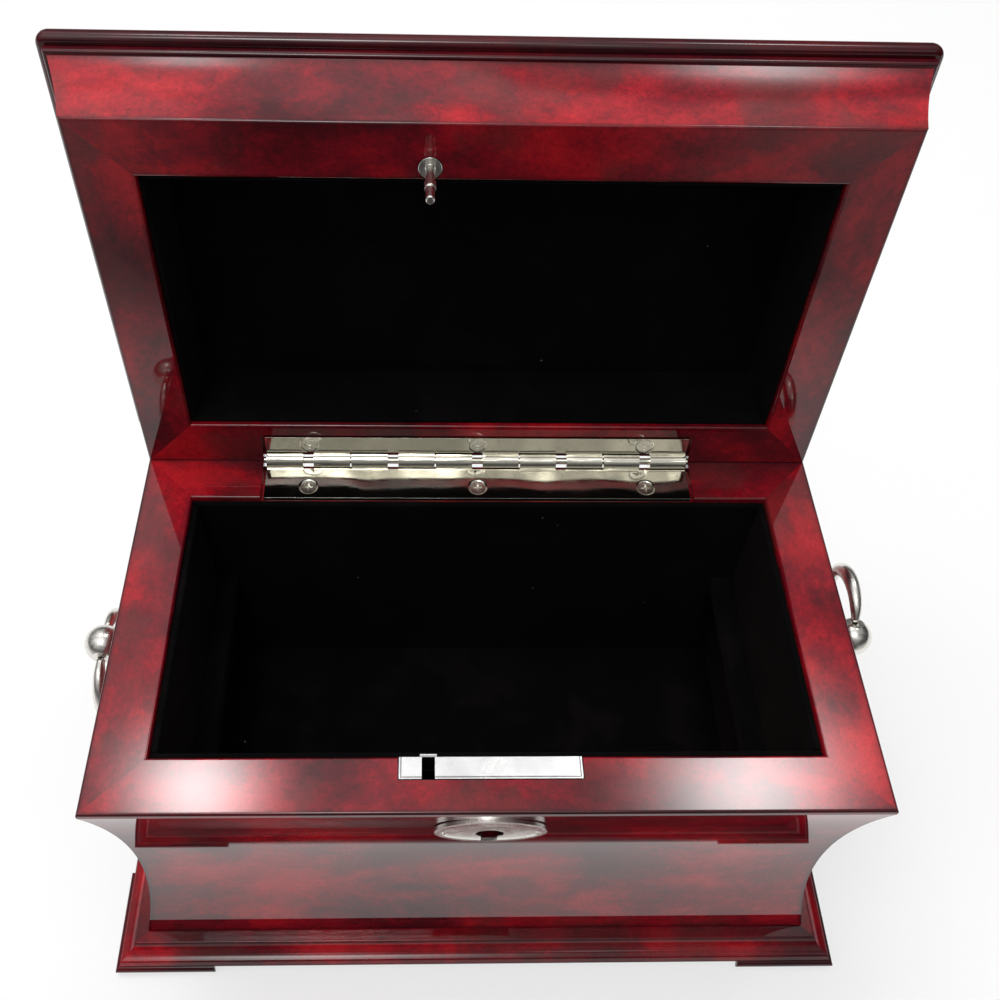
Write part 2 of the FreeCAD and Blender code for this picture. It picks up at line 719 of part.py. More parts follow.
def make_inside():
    """Bottom panel, padded floor, linings and the two ledges that carry a tray."""
    panel_x = f"{OPEN_X} + groove - panel_gap"
    panel_y = f"{OPEN_Y} + groove - panel_gap"
    placed_box("bottom_panel", f"-({panel_x})", panel_x, f"-({panel_y})", panel_y,
               "panel_height", PANEL_TOP)
    make_linings("lining", "lining_thick", f"{PANEL_TOP} + lining_gap", "rim_height - lining_drop")
    pad_x = f"{OPEN_X} - lining_thick - 2 * lining_gap"
    pad_y = f"{OPEN_Y} - lining_thick - 2 * lining_gap"
    placed_box("floor_pad", f"-({pad_x})", pad_x, f"-({pad_y})", pad_y,
               f"{PANEL_TOP} + lining_gap", f"{PANEL_TOP} + lining_gap + pad_thick")
    ledge_top = "rim_height - ledge_drop"
    ledge_foot = f"{ledge_top} - ledge_thick"
    placed_box("left_ledge", f"-({pad_x})", f"-({pad_x}) + ledge_width", f"-({pad_y})", pad_y,
               ledge_foot, ledge_top)
    placed_box("right_ledge", f"{pad_x} - ledge_width", pad_x, f"-({pad_y})", pad_y,
               ledge_foot, ledge_top)


LID_TOP_FOOT = f"{LID_RAIL_TOP} + bead_rise"


def make_lid():
    """Four flared rails, the stepped fillet, the top and the velvet inside."""
    for side in SIDES:
        body = mitred_side(side, lid_outline(), "lid_flare")
        if side == "back":
            house_upper_leaf(body)
        if side == "front":
            house_strike(body)
        keep(body, f"lid_{side}_rail", LID_TURN, SIDES[side][1])
    bead = new_body()
    outer = strip("-rim_length / 2 - bead_reach", "rim_length / 2 + bead_reach",
                  "-rim_depth / 2 - bead_reach", "rim_depth / 2 + bead_reach")
    inner = strip(f"-{OPEN_X}", OPEN_X, f"-{OPEN_Y}", OPEN_Y)
    pad(bead, sketch(bead, "XY_Plane", outer, inner, lift=LID_RAIL_TOP), "bead_rise")
    rounded(bead, "arris", lambda edge: reaches(edge, "rim_length / 2 + bead_reach",
                                                "rim_depth / 2 + bead_reach"))
    keep(bead, "lid_bead", LID_TURN)
    make_top()
    make_linings("lid_lining", "lid_lining_thick", f"{LID_FOOT} + lining_drop",
                 f"{LID_TOP_FOOT} + top_rebate - lid_pad_thick - 2 * lining_gap", LID_TURN)
    velvet_x = f"{OPEN_X} - lining_gap"
    velvet_y = f"{OPEN_Y} - lining_gap"
    placed_box("lid_pad", f"-({velvet_x})", velvet_x, f"-({velvet_y})", velvet_y,
               f"{LID_TOP_FOOT} + top_rebate - lid_pad_thick - lining_gap",
               f"{LID_TOP_FOOT} + top_rebate - lining_gap", LID_TURN)


def reaches(edge, half_length, half_depth):
    """Whether a level edge lies on the outer faces of a rectangular piece."""
    box_of = edge.BoundBox
    close = 1e-4
    across = max(abs(box_of.XMin), abs(box_of.XMax)) > number(half_length) - close
    along = max(abs(box_of.YMin), abs(box_of.YMax)) > number(half_depth) - close
    return box_of.ZLength < close and (across or along)


def make_top():
    """The lid's top: an overhanging board with a rounded nose and a hollow below."""
    top = new_body()
    far_x = "(rim_length / 2 + top_reach)"
    far_y = "(rim_depth / 2 + top_reach)"
    plan = [
        (f"-{far_x} + top_corner", f"-{far_y}"),
        (f"{far_x} - top_corner", f"-{far_y}", "top_corner", 1),
        (far_x, f"-{far_y} + top_corner"),
        (far_x, f"{far_y} - top_corner", "top_corner", 1),
        (f"{far_x} - top_corner", far_y),
        (f"-{far_x} + top_corner", far_y, "top_corner", 1),
        (f"-{far_x}", f"{far_y} - top_corner"),
        (f"-{far_x}", f"-{far_y} + top_corner", "top_corner", 1),
    ]
    pad(top, sketch(top, "XY_Plane", plan, lift=LID_TOP_FOOT), "top_rise")
    upper = number(f"{LID_TOP_FOOT} + top_rise")
    rounded(top, "top_nose_upper", lambda edge: edge.BoundBox.ZMin > upper - 1e-4)
    lower = number(LID_TOP_FOOT)
    rounded(top, "top_nose_lower", lambda edge: edge.BoundBox.ZMax < lower + 1e-4)
    hollow = strip(f"-{OPEN_X}", OPEN_X, f"-{OPEN_Y}", OPEN_Y)
    pocket(top, sketch(top, "XY_Plane", hollow, lift=LID_TOP_FOOT), "top_rebate", backwards=True)
    keep(top, "lid_top", LID_TURN)


def house_upper_leaf(body):
    """Cut the upper leaf's housing, the trough of the barrel and the screw holes."""
    near = "-hinge_inset - lid_leaf_width - leaf_gap"
    leaf = strip(HINGE_LEFT, HINGE_RIGHT, near, "lid_flare")
    pocket(body, sketch(body, "XY_Plane", leaf, lift=LID_FOOT), "leaf_sink + leaf_thick",
           backwards=True)
    near = "-hinge_inset - barrel_radius - barrel_gap"
    trough = strip(HINGE_LEFT, HINGE_RIGHT, near, "lid_flare")
    pocket(body, sketch(body, "XY_Plane", trough, lift=LID_FOOT),
           "barrel_radius + barrel_gap - rim_gap / 2", backwards=True)
    pocket(body, sketch(body, "XY_Plane", *pilot_row("-hinge_inset - lid_screw_inset"), lift=LID_FOOT),
           "screw_length + overrun", backwards=True)


def house_strike(body):
    """Bore the front rail for the strike pin; X runs the other way on the front."""
    along = "strike_line - wall"
    root = ("-strike_shift", along, "screw_shank + screw_fit")
    pocket(body, sketch(body, "XY_Plane", root, lift=LID_FOOT), "strike_root + overrun",
           backwards=True)
    flange = ("-strike_shift", along, "strike_flange + lock_gap")
    pocket(body, sketch(body, "XY_Plane", flange, lift=LID_FOOT),
           "strike_flange_thick - strike_flange_proud + screw_fit", backwards=True)


HINGE_PLACE = spot("hinge_shift", "rim_depth / 2 - hinge_inset", "rim_height + rim_gap / 2")


def make_leaf(label, width, inset, first, way, *places):
    """A hinge leaf with its knuckles; way is 1 above the axis and -1 below it."""
    body = new_body()
    face = f"{way} * (leaf_sink + rim_gap / 2)"
    far_face = f"{way} * (leaf_sink + rim_gap / 2 + leaf_thick)"
    barrel_edge = "-barrel_radius - barrel_gap"
    plate = strip(f"-{HINGE_LENGTH} / 2", f"{HINGE_LENGTH} / 2", f"-{width}", barrel_edge)
    pad(body, sketch(body, "XY_Plane", plate, lift=face), "leaf_thick", backwards=way == "-1")
    web = strip(f"{barrel_edge} - overrun", "0", face, far_face)
    web_pad = pad(body, sketch(body, "YZ_Plane", web, lift=first), "knuckle")
    barrel = ("0", "0", "barrel_radius")
    barrel_pad = pad(body, sketch(body, "YZ_Plane", barrel, lift=first), "knuckle")
    row_of(body, [web_pad, barrel_pad], "X_Axis", "knuckle_pitch * (knuckle_pairs - 1)",
           "knuckle_pairs")
    pocket(body, sketch(body, "YZ_Plane", ("0", "0", "pin_radius + pin_fit")))
    beyond = f"{way} * (leaf_thick + overrun)"
    hole = [
        ("0", "0"),
        ("screw_dimple", "0"),
        ("screw_head + screw_fit", f"{way} * dimple_depth"),
        ("screw_shank + screw_fit", f"{way} * (dimple_depth + screw_countersink)"),
        ("screw_shank + screw_fit", beyond),
        ("0", beyond),
    ]
    place = spot("-hinge_screw_pitch", face, inset)
    groove = turned(body, sketch(body, "XZ_Plane", hole, place=place), "V_Axis",
                    "PartDesign::Groove")
    row_of(body, [groove], "X_Axis", f"{len(SCREW_STEPS) - 1} * hinge_screw_pitch",
           str(len(SCREW_STEPS)))
    keep(body, label, *places, HINGE_PLACE)


def countersunk(head, shank, sink, length, cross, place):
    """A countersunk screw along -Z from its place, with a cross slot in its head."""
    solid = joined(
        cone(shank, head, sink, spot(0, 0, f"-{sink}")),
        rod(shank, f"{length} - {sink} / 2", spot(0, 0, f"-{length}")),
    )
    arm = f"{head} * cross_share"
    slots = [
        box(f"-{long}", long, f"-{thin}", thin, "-cross_depth", "cross_depth")
        for long, thin in ((arm, f"{cross} / 2"), (f"{cross} / 2", arm))
    ]
    screw = less(solid, *slots)
    put(screw, place)
    return screw


def make_hinge():
    """Two leaves on one pin, and three screws in each leaf."""
    first = f"-{HINGE_LENGTH} / 2"
    make_leaf("hinge_body_leaf", "body_leaf_width", "body_screw_inset", first, "-1")
    make_leaf("hinge_lid_leaf", "lid_leaf_width", "lid_screw_inset",
              f"{first} + knuckle + knuckle_space", "1", LID_TURN)
    pin_length = f"{HINGE_LENGTH} + 2 * pin_overhang"
    lying = spot(f"hinge_shift - ({pin_length}) / 2", "rim_depth / 2 - hinge_inset",
                 "rim_height + rim_gap / 2", "0; 1; 0", "90")
    keep(rod("pin_radius", pin_length), "hinge_pin", lying)
    sunk = "(leaf_sink + dimple_depth)"
    rows = (
        ("hinge_body_screws", "body_screw_inset", f"rim_height - {sunk}", "0", ()),
        ("hinge_lid_screws", "lid_screw_inset", f"{LID_FOOT} + {sunk}", "180", (LID_TURN,)),
    )
    for label, inset, height, turn, places in rows:
        screws = [
            countersunk("screw_head", "screw_shank", "screw_countersink", "screw_length",
                        "cross_width",
                        spot(f"hinge_shift + {step} * hinge_screw_pitch",
                             f"rim_depth / 2 - hinge_inset - {inset}", height, "1; 0; 0", turn))
            for step in SCREW_STEPS
        ]
        keep(group_of(*screws), label, *places)


# The lock is drawn with Y back from the front wall's inner face and Z up from the rim.

LOCK_PLACE = spot(0, "wall - rim_depth / 2", "rim_height")
PLATE_FOOT = "(-lock_sink - plate_thick)"
CASE_FRONT = f"({PLATE_FOOT} - case_depth)"
STRIKE_LINE = "(-strike_line)"
BOLT_TOP = f"({PLATE_FOOT} - bolt_gap)"
PEG_X = "(key_shift + bolt_travel / 2)"
KEY_Z = "(-key_drop)"
HALF_SWING = "asin(bolt_travel / 2 / crank)"


def make_lock():
    """A half-mortised lock: plates and case, cover, bolt, key cam and screws."""
    case = new_body()
    lock_left = "lock_shift - lock_length / 2"
    angle = [
        ("-lock_sink", "-lock_sink"),
        ("-lock_sink - face_width", "-lock_sink"),
        ("-lock_sink - face_width", PLATE_FOOT),
        (PLATE_FOOT, PLATE_FOOT),
        (PLATE_FOOT, f"-{LOCK_DROP}"),
        ("-lock_sink", f"-{LOCK_DROP}"),
    ]
    pad(case, sketch(case, "YZ_Plane", angle, lift=lock_left), "lock_length")
    shell = [
        ("case_left", PLATE_FOOT),
        ("case_left", f"-{LOCK_DROP}"),
        ("case_right", f"-{LOCK_DROP}"),
        ("case_right", PLATE_FOOT),
        ("case_right - case_wall", PLATE_FOOT),
        ("case_right - case_wall", f"-{LOCK_DROP} + case_wall"),
        ("case_left + case_wall", f"-{LOCK_DROP} + case_wall"),
        ("case_left + case_wall", PLATE_FOOT),
    ]
    pad(case, sketch(case, "XZ_Plane", shell, lift=f"-{PLATE_FOOT}"), "case_depth - case_wall")
    rib = strip("guide_left", "guide_right", f"{BOLT_TOP} - bolt_height - bolt_gap - guide_thick",
                f"{BOLT_TOP} - bolt_height - bolt_gap")
    pad(case, sketch(case, "XZ_Plane", rib, lift=f"-{PLATE_FOOT}"),
        "case_depth - case_wall")
    lip = strip("strike_shift - slot_width / 2 - slot_side",
                "strike_shift + slot_width / 2 + slot_side", PLATE_FOOT, "slot_lip")
    pad(case, sketch(case, "XY_Plane", lip, lift="-lock_sink"), "plate_thick + lining_gap",
        backwards=True)
    slot = strip("strike_shift - slot_width / 2", "strike_shift + slot_width / 2",
                 "-lock_sink - face_width - overrun", "-lock_sink")
    pocket(case, sketch(case, "XY_Plane", slot, lift="0"), "slot_drop")
    pivot = ("key_shift", KEY_Z, "cam_pivot + post_fit")
    pocket(case, sketch(case, "XZ_Plane", pivot, lift="0"), "plate_thick + overrun",
           backwards=True)
    hole = [
        ("0", "0"),
        ("lock_screw_head + screw_fit", "0"),
        ("lock_screw + screw_fit", "lock_screw_sink"),
        ("lock_screw + screw_fit", "plate_thick + overrun"),
        ("0", "plate_thick + overrun"),
    ]
    for way in ("-1", "1"):
        for height in LOCK_SCREW_HEIGHTS:
            place = spot(f"lock_shift + {way} * lock_screw_offset", "-lock_sink",
                         f"{height} - rim_height", "1; 0; 0", "180")
            turned(case, sketch(case, "XY_Plane", hole, place=place), "V_Axis",
                   "PartDesign::Groove")
    keep(case, "lock_case", LOCK_PLACE)
    make_lock_cover()
    make_bolt()
    make_cam()
    screws = [
        countersunk("lock_screw_head", "lock_screw", "lock_screw_sink", "lock_screw_long",
                    "cross_width / 2",
                    spot(f"lock_shift + {way} * lock_screw_offset",
                         "wall - rim_depth / 2 - lock_sink", height, "1; 0; 0", "-90"))
        for way in ("-1", "1")
        for height in LOCK_SCREW_HEIGHTS
    ]
    keep(group_of(*screws), "lock_screws")


def make_lock_cover():
    """The front plate of the lock's case, with the keyhole."""
    cover = new_body()
    plate = strip("case_left", "case_right", f"-{LOCK_DROP}", PLATE_FOOT)
    pad(cover, sketch(cover, "XZ_Plane", plate, lift=f"-{CASE_FRONT} - case_wall"), "case_wall")
    for outline in keyhole("key_shift", KEY_Z, "-case_wall"):
        pocket(cover, sketch(cover, "XZ_Plane", outline))
    keep(cover, "lock_cover", LOCK_PLACE)


def make_bolt():
    """The sliding bolt: a forked bar, and a foot whose notch holds the cam's peg."""
    bolt = new_body()
    tip = "strike_shift + strike_bead + 2 * bolt_gap"
    root = f"{tip} + fork_depth"
    end = f"{PEG_X} + cam_peg + bolt_gap + bolt_leg"
    back = f"{PLATE_FOOT} - bolt_gap"
    front = f"{CASE_FRONT} + case_wall + bolt_gap"
    fork = [
        (tip, front),
        (end, front),
        (end, back),
        (tip, back),
        (tip, f"{STRIKE_LINE} + fork_gap / 2"),
        (root, f"{STRIKE_LINE} + fork_gap / 2"),
        (root, f"{STRIKE_LINE} - fork_gap / 2"),
        (tip, f"{STRIKE_LINE} - fork_gap / 2"),
    ]
    pad(bolt, sketch(bolt, "XY_Plane", fork, lift=BOLT_TOP), "bolt_height", backwards=True)
    notch = "cam_peg + bolt_gap"
    foot_low = f"{KEY_Z} + crank * cos({HALF_SWING}) - cam_peg - bolt_gap"
    notch_top = f"{KEY_Z} + crank + cam_peg + bolt_gap"
    foot = [
        (f"{PEG_X} - {notch} - bolt_leg", foot_low),
        (f"{PEG_X} - ({notch})", foot_low),
        (f"{PEG_X} - ({notch})", notch_top),
        (f"{PEG_X} + {notch}", notch_top),
        (f"{PEG_X} + {notch}", foot_low),
        (end, foot_low),
        (end, BOLT_TOP),
        (f"{PEG_X} - {notch} - bolt_leg", BOLT_TOP),
    ]
    pad(bolt, sketch(bolt, "XZ_Plane", foot, lift=f"-({back})"), "bolt_thick")
    keep(bolt, "lock_bolt", LOCK_PLACE)


def make_cam():
    """The cam that the key turns: pivot, disc, arm, peg and a slotted boss."""
    cam = new_body()
    web_back = f"{PLATE_FOOT} - bolt_thick - 2 * bolt_gap"
    pivot = ("0", "0", "cam_pivot")
    pad(cam, sketch(cam, "XZ_Plane", pivot, lift="lock_sink"),
        f"cam_web / 2 - lock_sink - ({web_back})")
    disc = ("0", "0", "cam_radius")
    pad(cam, sketch(cam, "XZ_Plane", disc, lift=f"-({web_back})"),
        f"{web_back} - ({CASE_FRONT} + case_wall + bolt_gap)")
    arm = strip("-cam_peg - bolt_gap", "cam_peg + bolt_gap", "0", "crank + cam_peg + bolt_gap")
    pad(cam, sketch(cam, "XZ_Plane", arm, lift=f"-({web_back})"), "cam_web")
    peg = ("0", "crank", "cam_peg")
    pad(cam, sketch(cam, "XZ_Plane", peg, lift=f"-({PLATE_FOOT} - bolt_gap)"),
        "bolt_thick + bolt_gap + cam_web / 2")
    key_slot = strip("-cam_slot / 2", "cam_slot / 2", "-cam_radius - overrun", "cam_radius / 2")
    pocket(cam, sketch(cam, "XZ_Plane", key_slot, lift=f"-({web_back}) + cam_web"),
           "case_depth", backwards=True)
    keep(cam, "key_cam", LOCK_PLACE, spot("key_shift", 0, KEY_Z, "0; 1; 0", HALF_SWING))


SHIELD_PLACE = (
    spot("key_shift", f"{SHIELD_DEPTH} - rim_depth / 2", SHIELD_HEIGHT, "1; 0; 0", "90")
    + " * " + spot(0, 0, 0, "1; 0; 0", SHIELD_LEAN)
)


def make_escutcheon():
    """The dished oval plate round the keyhole, and its two pins."""
    oval = document.addObject("Part::Ellipse", "oval")
    bind(oval, "MajorRadius", "shield_half_width")
    bind(oval, "MinorRadius", "shield_half_height")
    plate = document.addObject("Part::Extrusion", "plate")
    plate.Base = oval
    plate.DirMode = "Custom"
    plate.Dir = FreeCAD.Vector(0, 0, 1)
    plate.Solid = True
    bind(plate, "LengthFwd", "shield_thick")
    dish = document.addObject("Part::Ellipsoid", "dish")
    bind(dish, "Radius1", "shield_dish")
    bind(dish, "Radius2", "shield_half_width - shield_rim")
    bind(dish, "Radius3", "shield_half_height - shield_rim")
    put(dish, spot(0, 0, "shield_thick"))
    low = "-shield_lift"
    hole = rod("key_bore", "shield_thick + 2 * overrun", spot(0, low, "-overrun"))
    slot = box("-key_slot / 2", "key_slot / 2", f"{low} - key_slot_drop", low, "-overrun",
               "shield_thick + overrun")
    pin_places = [
        spot(f"{way} * shield_pin_offset", "-shield_pin_drop", "-shield_pin_long")
        for way in ("-1", "1")
    ]
    length = "shield_pin_long + shield_thick"
    holes = [rod("shield_pin + screw_fit", f"{length} + overrun", place) for place in pin_places]
    keep(less(plate, dish, hole, slot, *holes), "escutcheon", SHIELD_PLACE)
    pins = [rod("shield_pin", length, place) for place in pin_places]
    keep(group_of(*pins), "escutcheon_pins", SHIELD_PLACE)


def make_strike():
    """The pin under the lid that the bolt catches, drawn point down from the lid's rim."""
    pin = new_body()
    bevel = "(strike_bead - strike_shank)"
    bead_end = "-strike_bead_top - strike_bead_long"
    profile = [
        ("0", "strike_root"),
        ("screw_shank", "strike_root"),
        ("screw_shank", "strike_flange_thick - strike_flange_proud"),
        ("strike_flange", "strike_flange_thick - strike_flange_proud"),
        ("strike_flange", "-strike_flange_proud"),
        ("strike_shank", "-strike_flange_proud"),
        ("strike_shank", "-strike_bead_top"),
        ("strike_bead", f"-strike_bead_top - {bevel}"),
        ("strike_bead", f"{bead_end} + {bevel}"),
        ("strike_shank", bead_end),
        ("strike_shank", f"-strike_long + {bevel}"),
        (f"strike_shank - {bevel}", "-strike_long"),
        ("0", "-strike_long"),
    ]
    turned(pin, sketch(pin, "XZ_Plane", profile), "V_Axis")
    keep(pin, "strike_pin", LID_TURN,
         spot("strike_shift", "wall - strike_line - rim_depth / 2", LID_FOOT))


# The handles are drawn with X outwards along the post, from the middle of the ball.

HANDLE_PLACES = {
    "left": spot("-rim_length / 2 - ball_out", "-handle_shift", "handle_height", "0; 0; 1", "180"),
    "right": spot("rim_length / 2 + ball_out", "handle_shift", "handle_height"),
}
NUT_FACE = "(-ball_out - wall + nut_sink - rosette_gap)"
ROSETTE_FACE = "(-ball_out - rosette_seat + rosette_thick)"


def make_handle(side):
    """A ball on a post through the wall, its ring, its rosette and its nut."""
    place = HANDLE_PLACES[side]
    turn = spot(0, 0, 0, "1; 0; 0", f"{side}_turn")
    keep(ball_and_post(), f"{side}_handle_ball", place, turn)
    keep(ring(), f"{side}_handle_ring", place, turn)
    rosette = new_body()
    profile = [
        ("-ball_out - rosette_seat", "post_radius + post_fit"),
        (ROSETTE_FACE, "post_radius + post_fit"),
        (ROSETTE_FACE, "rosette_radius - arris", "arris", 1),
        (f"{ROSETTE_FACE} - arris", "rosette_radius"),
        ("-ball_out - rosette_seat", "rosette_radius"),
    ]
    turned(rosette, sketch(rosette, "XY_Plane", profile), "H_Axis")
    keep(rosette, f"{side}_handle_rosette", place)
    nut = less(
        joined(nut_hexagon(), rod("nut_radius", "nut_flange")),
        rod("post_radius + screw_fit", "nut_thick + 2 * overrun", spot(0, 0, "-overrun")),
    )
    keep(nut, f"{side}_handle_nut", place, turn, spot(NUT_FACE, 0, 0, "0; 1; 0", "-90"))


def nut_hexagon():
    """The hexagon of a nut."""
    hexagon = document.addObject("Part::Prism", "hexagon")
    hexagon.Polygon = 6
    bind(hexagon, "Circumradius", "nut_radius - arris")
    bind(hexagon, "Height", "nut_thick")
    return hexagon


def ball_and_post():
    """The ball with its flats and pin hole, its neck and its post, in one turned piece."""
    ball = new_body()
    neck_edge = "-sqrt(ball_radius ^ 2 - neck_radius ^ 2)"
    neck_end = f"{ROSETTE_FACE} + rosette_gap"
    post_end = f"{NUT_FACE} - nut_thick"
    profile = [
        ("ball_radius", "0", "ball_radius", 1),
        (neck_edge, "neck_radius"),
        (neck_end, "neck_radius"),
        (neck_end, "post_radius"),
        (post_end, "post_radius"),
        (post_end, "0"),
    ]
    turned(ball, sketch(ball, "XY_Plane", profile), "H_Axis")
    flats = [
        strip("-ball_radius", "ball_radius", f"{way} * ball_flat", f"{way} * (ball_radius + overrun)")
        for way in ("-1", "1")
    ]
    pocket(ball, sketch(ball, "XY_Plane", *flats))
    pocket(ball, sketch(ball, "XZ_Plane", ("0", "0", "peg_radius + peg_fit")))
    return ball


def ring():
    """The oval ring: two bends joined by a straight side, with pegs in the ball."""
    body = new_body()
    far = "-2 * ring_bend"
    end_up = "-ring_bend + sqrt(ring_bend ^ 2 - (ring_start - ring_half_gap) ^ 2)"
    path = body.newObject("Sketcher::SketchObject", "path")
    path.AttachmentSupport = [(plane_of(body, "YZ_Plane"), "")]
    path.MapMode = "FlatFace"
    corner = FreeCAD.Vector(number("ring_half_gap"), number(far), 0)
    finish = FreeCAD.Vector(number("ring_start"), number(end_up), 0)
    straight = path.addGeometry(Part.LineSegment(FreeCAD.Vector(0, corner.y, 0), corner))
    centre, first, last = arc_through(corner, finish, number("ring_bend"), 1)
    bend = path.addGeometry(Part.ArcOfCircle(
        Part.Circle(centre, FreeCAD.Vector(0, 0, 1), number("ring_bend")), first, last))
    path.addConstraint(Sketcher.Constraint("Coincident", straight, 2, bend, 1))
    fix_point(path, straight, 1, "0", far)
    fix_point(path, straight, 2, "ring_half_gap", far)
    fix_point(path, bend, 2, "ring_start", end_up)
    held = path.addConstraint(Sketcher.Constraint("Radius", bend, number("ring_bend")))
    bind(path, f"Constraints[{held}]", "ring_bend")
    section = sketch(body, "XZ_Plane", ("0", far, "ring_rod"))
    pipe = body.newObject("PartDesign::AdditivePipe", "rod")
    pipe.Profile = section
    pipe.Spine = (path, ["Edge1", "Edge2"])
    peg = pad(body, sketch(body, "XZ_Plane", ("0", "0", "peg_radius"), lift="-peg_reach"),
              "ring_start + arris - peg_reach", backwards=True)
    mirror = body.newObject("PartDesign::Mirrored", "mirror")
    mirror.Originals = [pipe, peg]
    mirror.MirrorPlane = (plane_of(body, "XZ_Plane"), [""])
    body.Tip = mirror
    return body


make_walls()
make_base()
make_inside()
make_lid()
make_hinge()
make_lock()
make_escutcheon()
make_strike()
for side in HANDLE_PLACES:
    make_handle(side)
document.recompute()

faults = []
for item in document.Objects:
    if any(word in item.State for word in ("Invalid", "Error")):
        faults.append(f"{item.Name} of {item.Label}: {item.State}")
for cut in cuts:
    before = cut.BaseFeature.Shape.Volume if cut.BaseFeature else 0
    if cut.Shape.isNull() or before - cut.Shape.Volume < 1e-6:
        faults.append(f"{cut.Name} removes nothing")
for node in nodes:
    if node.Shape.isNull() or not node.Shape.isValid() or not node.Shape.Solids:
        faults.append(f"{node.Label} has no valid solid")
if faults:
    raise RuntimeError("; ".join(faults))

os.makedirs("parts", exist_ok=True)
for node in nodes:
    node.Shape.exportStep(f"parts/{node.Label}.step")
print(len(nodes), "nodes written")
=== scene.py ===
"""Jewelry chest with a hinged lid, a mortised lock and two drop handles."""
import enum
import logging
import math
from dataclasses import dataclass, field

import bmesh
import bpy
import numpy as np
from mathutils import Matrix, Vector


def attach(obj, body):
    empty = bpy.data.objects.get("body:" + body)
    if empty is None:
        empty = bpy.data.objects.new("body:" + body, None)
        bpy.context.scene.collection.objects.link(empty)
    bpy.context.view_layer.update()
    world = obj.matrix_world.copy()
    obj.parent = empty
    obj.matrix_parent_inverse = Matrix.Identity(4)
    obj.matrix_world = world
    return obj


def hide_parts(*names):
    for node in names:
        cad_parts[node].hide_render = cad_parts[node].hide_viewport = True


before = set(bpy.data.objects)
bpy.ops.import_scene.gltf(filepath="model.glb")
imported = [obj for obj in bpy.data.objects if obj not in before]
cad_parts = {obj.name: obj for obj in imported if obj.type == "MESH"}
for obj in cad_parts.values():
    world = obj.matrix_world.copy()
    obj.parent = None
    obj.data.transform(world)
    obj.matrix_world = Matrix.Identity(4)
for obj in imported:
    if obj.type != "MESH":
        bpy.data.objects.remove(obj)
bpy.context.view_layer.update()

LOG = logging.getLogger("chest")
MM = 0.001

# The hinge line and the lid's opening angle fix the lid's own directions.
HINGE_Y, HINGE_Z = 77.88 * MM, 139.15 * MM
OPEN_ANGLE = math.radians(93.3)
RIM_Z = 139.0 * MM
RIM_X, RIM_Y = 140.0 * MM, 78.5 * MM
LID_DEPTH = 157.0 * MM
# Half of the opening that the rims leave, along and across.
OPENING_X, OPENING_Y = 119.1 * MM, 57.6 * MM
WALL_FOOT_Z = 13.5 * MM
KEYHOLE_X, KEYHOLE_Z = 0.8 * MM, 110.6 * MM
# Middle and half of the lock's upper face, along and across, in millimetres.
LOCK_FACE = (0.3, 32.2, -61.25, 4.75)


class Grain(enum.Enum):
    """Direction in which the figure of a wooden piece is drawn out."""

    ALONG = (0.75, 1.0, 1.0)
    ACROSS = (1.0, 0.75, 1.0)


class Part(enum.Enum):
    """Assembly of the chest that a lacquered piece belongs to."""

    CASE = "case"
    BASE = "base"
    LID = "lid"
    TOP = "top"


class Wire:
    """A shader value: an output socket that can be used in sums and products."""

    def __init__(self, graph: "Graph", socket: bpy.types.NodeSocket) -> None:
        self.graph = graph
        self.socket = socket

    def _math(self, operation: str, *others, swap: bool = False) -> "Wire":
        """One Math node on this value and others, or with their order turned round."""
        operands = [self, *others]
        if swap:
            operands.reverse()
        return self.graph.node("ShaderNodeMath", *operands, operation=operation)

    def __add__(self, other) -> "Wire":
        return self._math("ADD", other)

    __radd__ = __add__

    def __sub__(self, other) -> "Wire":
        return self._math("SUBTRACT", other)

    def __rsub__(self, other) -> "Wire":
        return self._math("SUBTRACT", other, swap=True)

    def __mul__(self, other) -> "Wire":
        return self._math("MULTIPLY", other)

    __rmul__ = __mul__

    def __truediv__(self, other) -> "Wire":
        return self._math("DIVIDE", other)

    def __neg__(self) -> "Wire":
        return self * -1.0

    def __abs__(self) -> "Wire":
        return self._math("ABSOLUTE")

    def __pow__(self, exponent) -> "Wire":
        return self._math("POWER", exponent)

    def at_most(self, other) -> "Wire":
        """The smaller of this value and another."""
        return self._math("MINIMUM", other)

    def at_least(self, other) -> "Wire":
        """The larger of this value and another."""
        return self._math("MAXIMUM", other)

    def exp(self) -> "Wire":
        """e to the power of this value."""
        return self._math("EXPONENT")

    def step(self, low: float, high: float) -> "Wire":
        """A smooth rise from 0 at low to 1 at high.

        Args:
            low: value at which the rise starts.
            high: value at which it ends.

        Returns:
            The eased value.
        """
        return self.graph.node(
            "ShaderNodeMapRange", self, low, high, 0.0, 1.0, interpolation_type="SMOOTHSTEP"
        )

    def ramp(self, stops: list[tuple[float, tuple[float, float, float]]]) -> "Wire":
        """A colour read from a row of stops.

        Args:
            stops: places from 0 to 1, each with its colour.

        Returns:
            The colour.
        """
        made = self.graph.tree.nodes.new("ShaderNodeValToRGB")
        cells = made.color_ramp.elements
        while len(cells) < len(stops):
            cells.new(0.5)
        for cell, (place, colour) in zip(cells, stops):
            cell.position = place
            cell.color = (*colour, 1.0)
        self.graph.tree.links.new(self.socket, made.inputs[0])
        return Wire(self.graph, made.outputs[0])


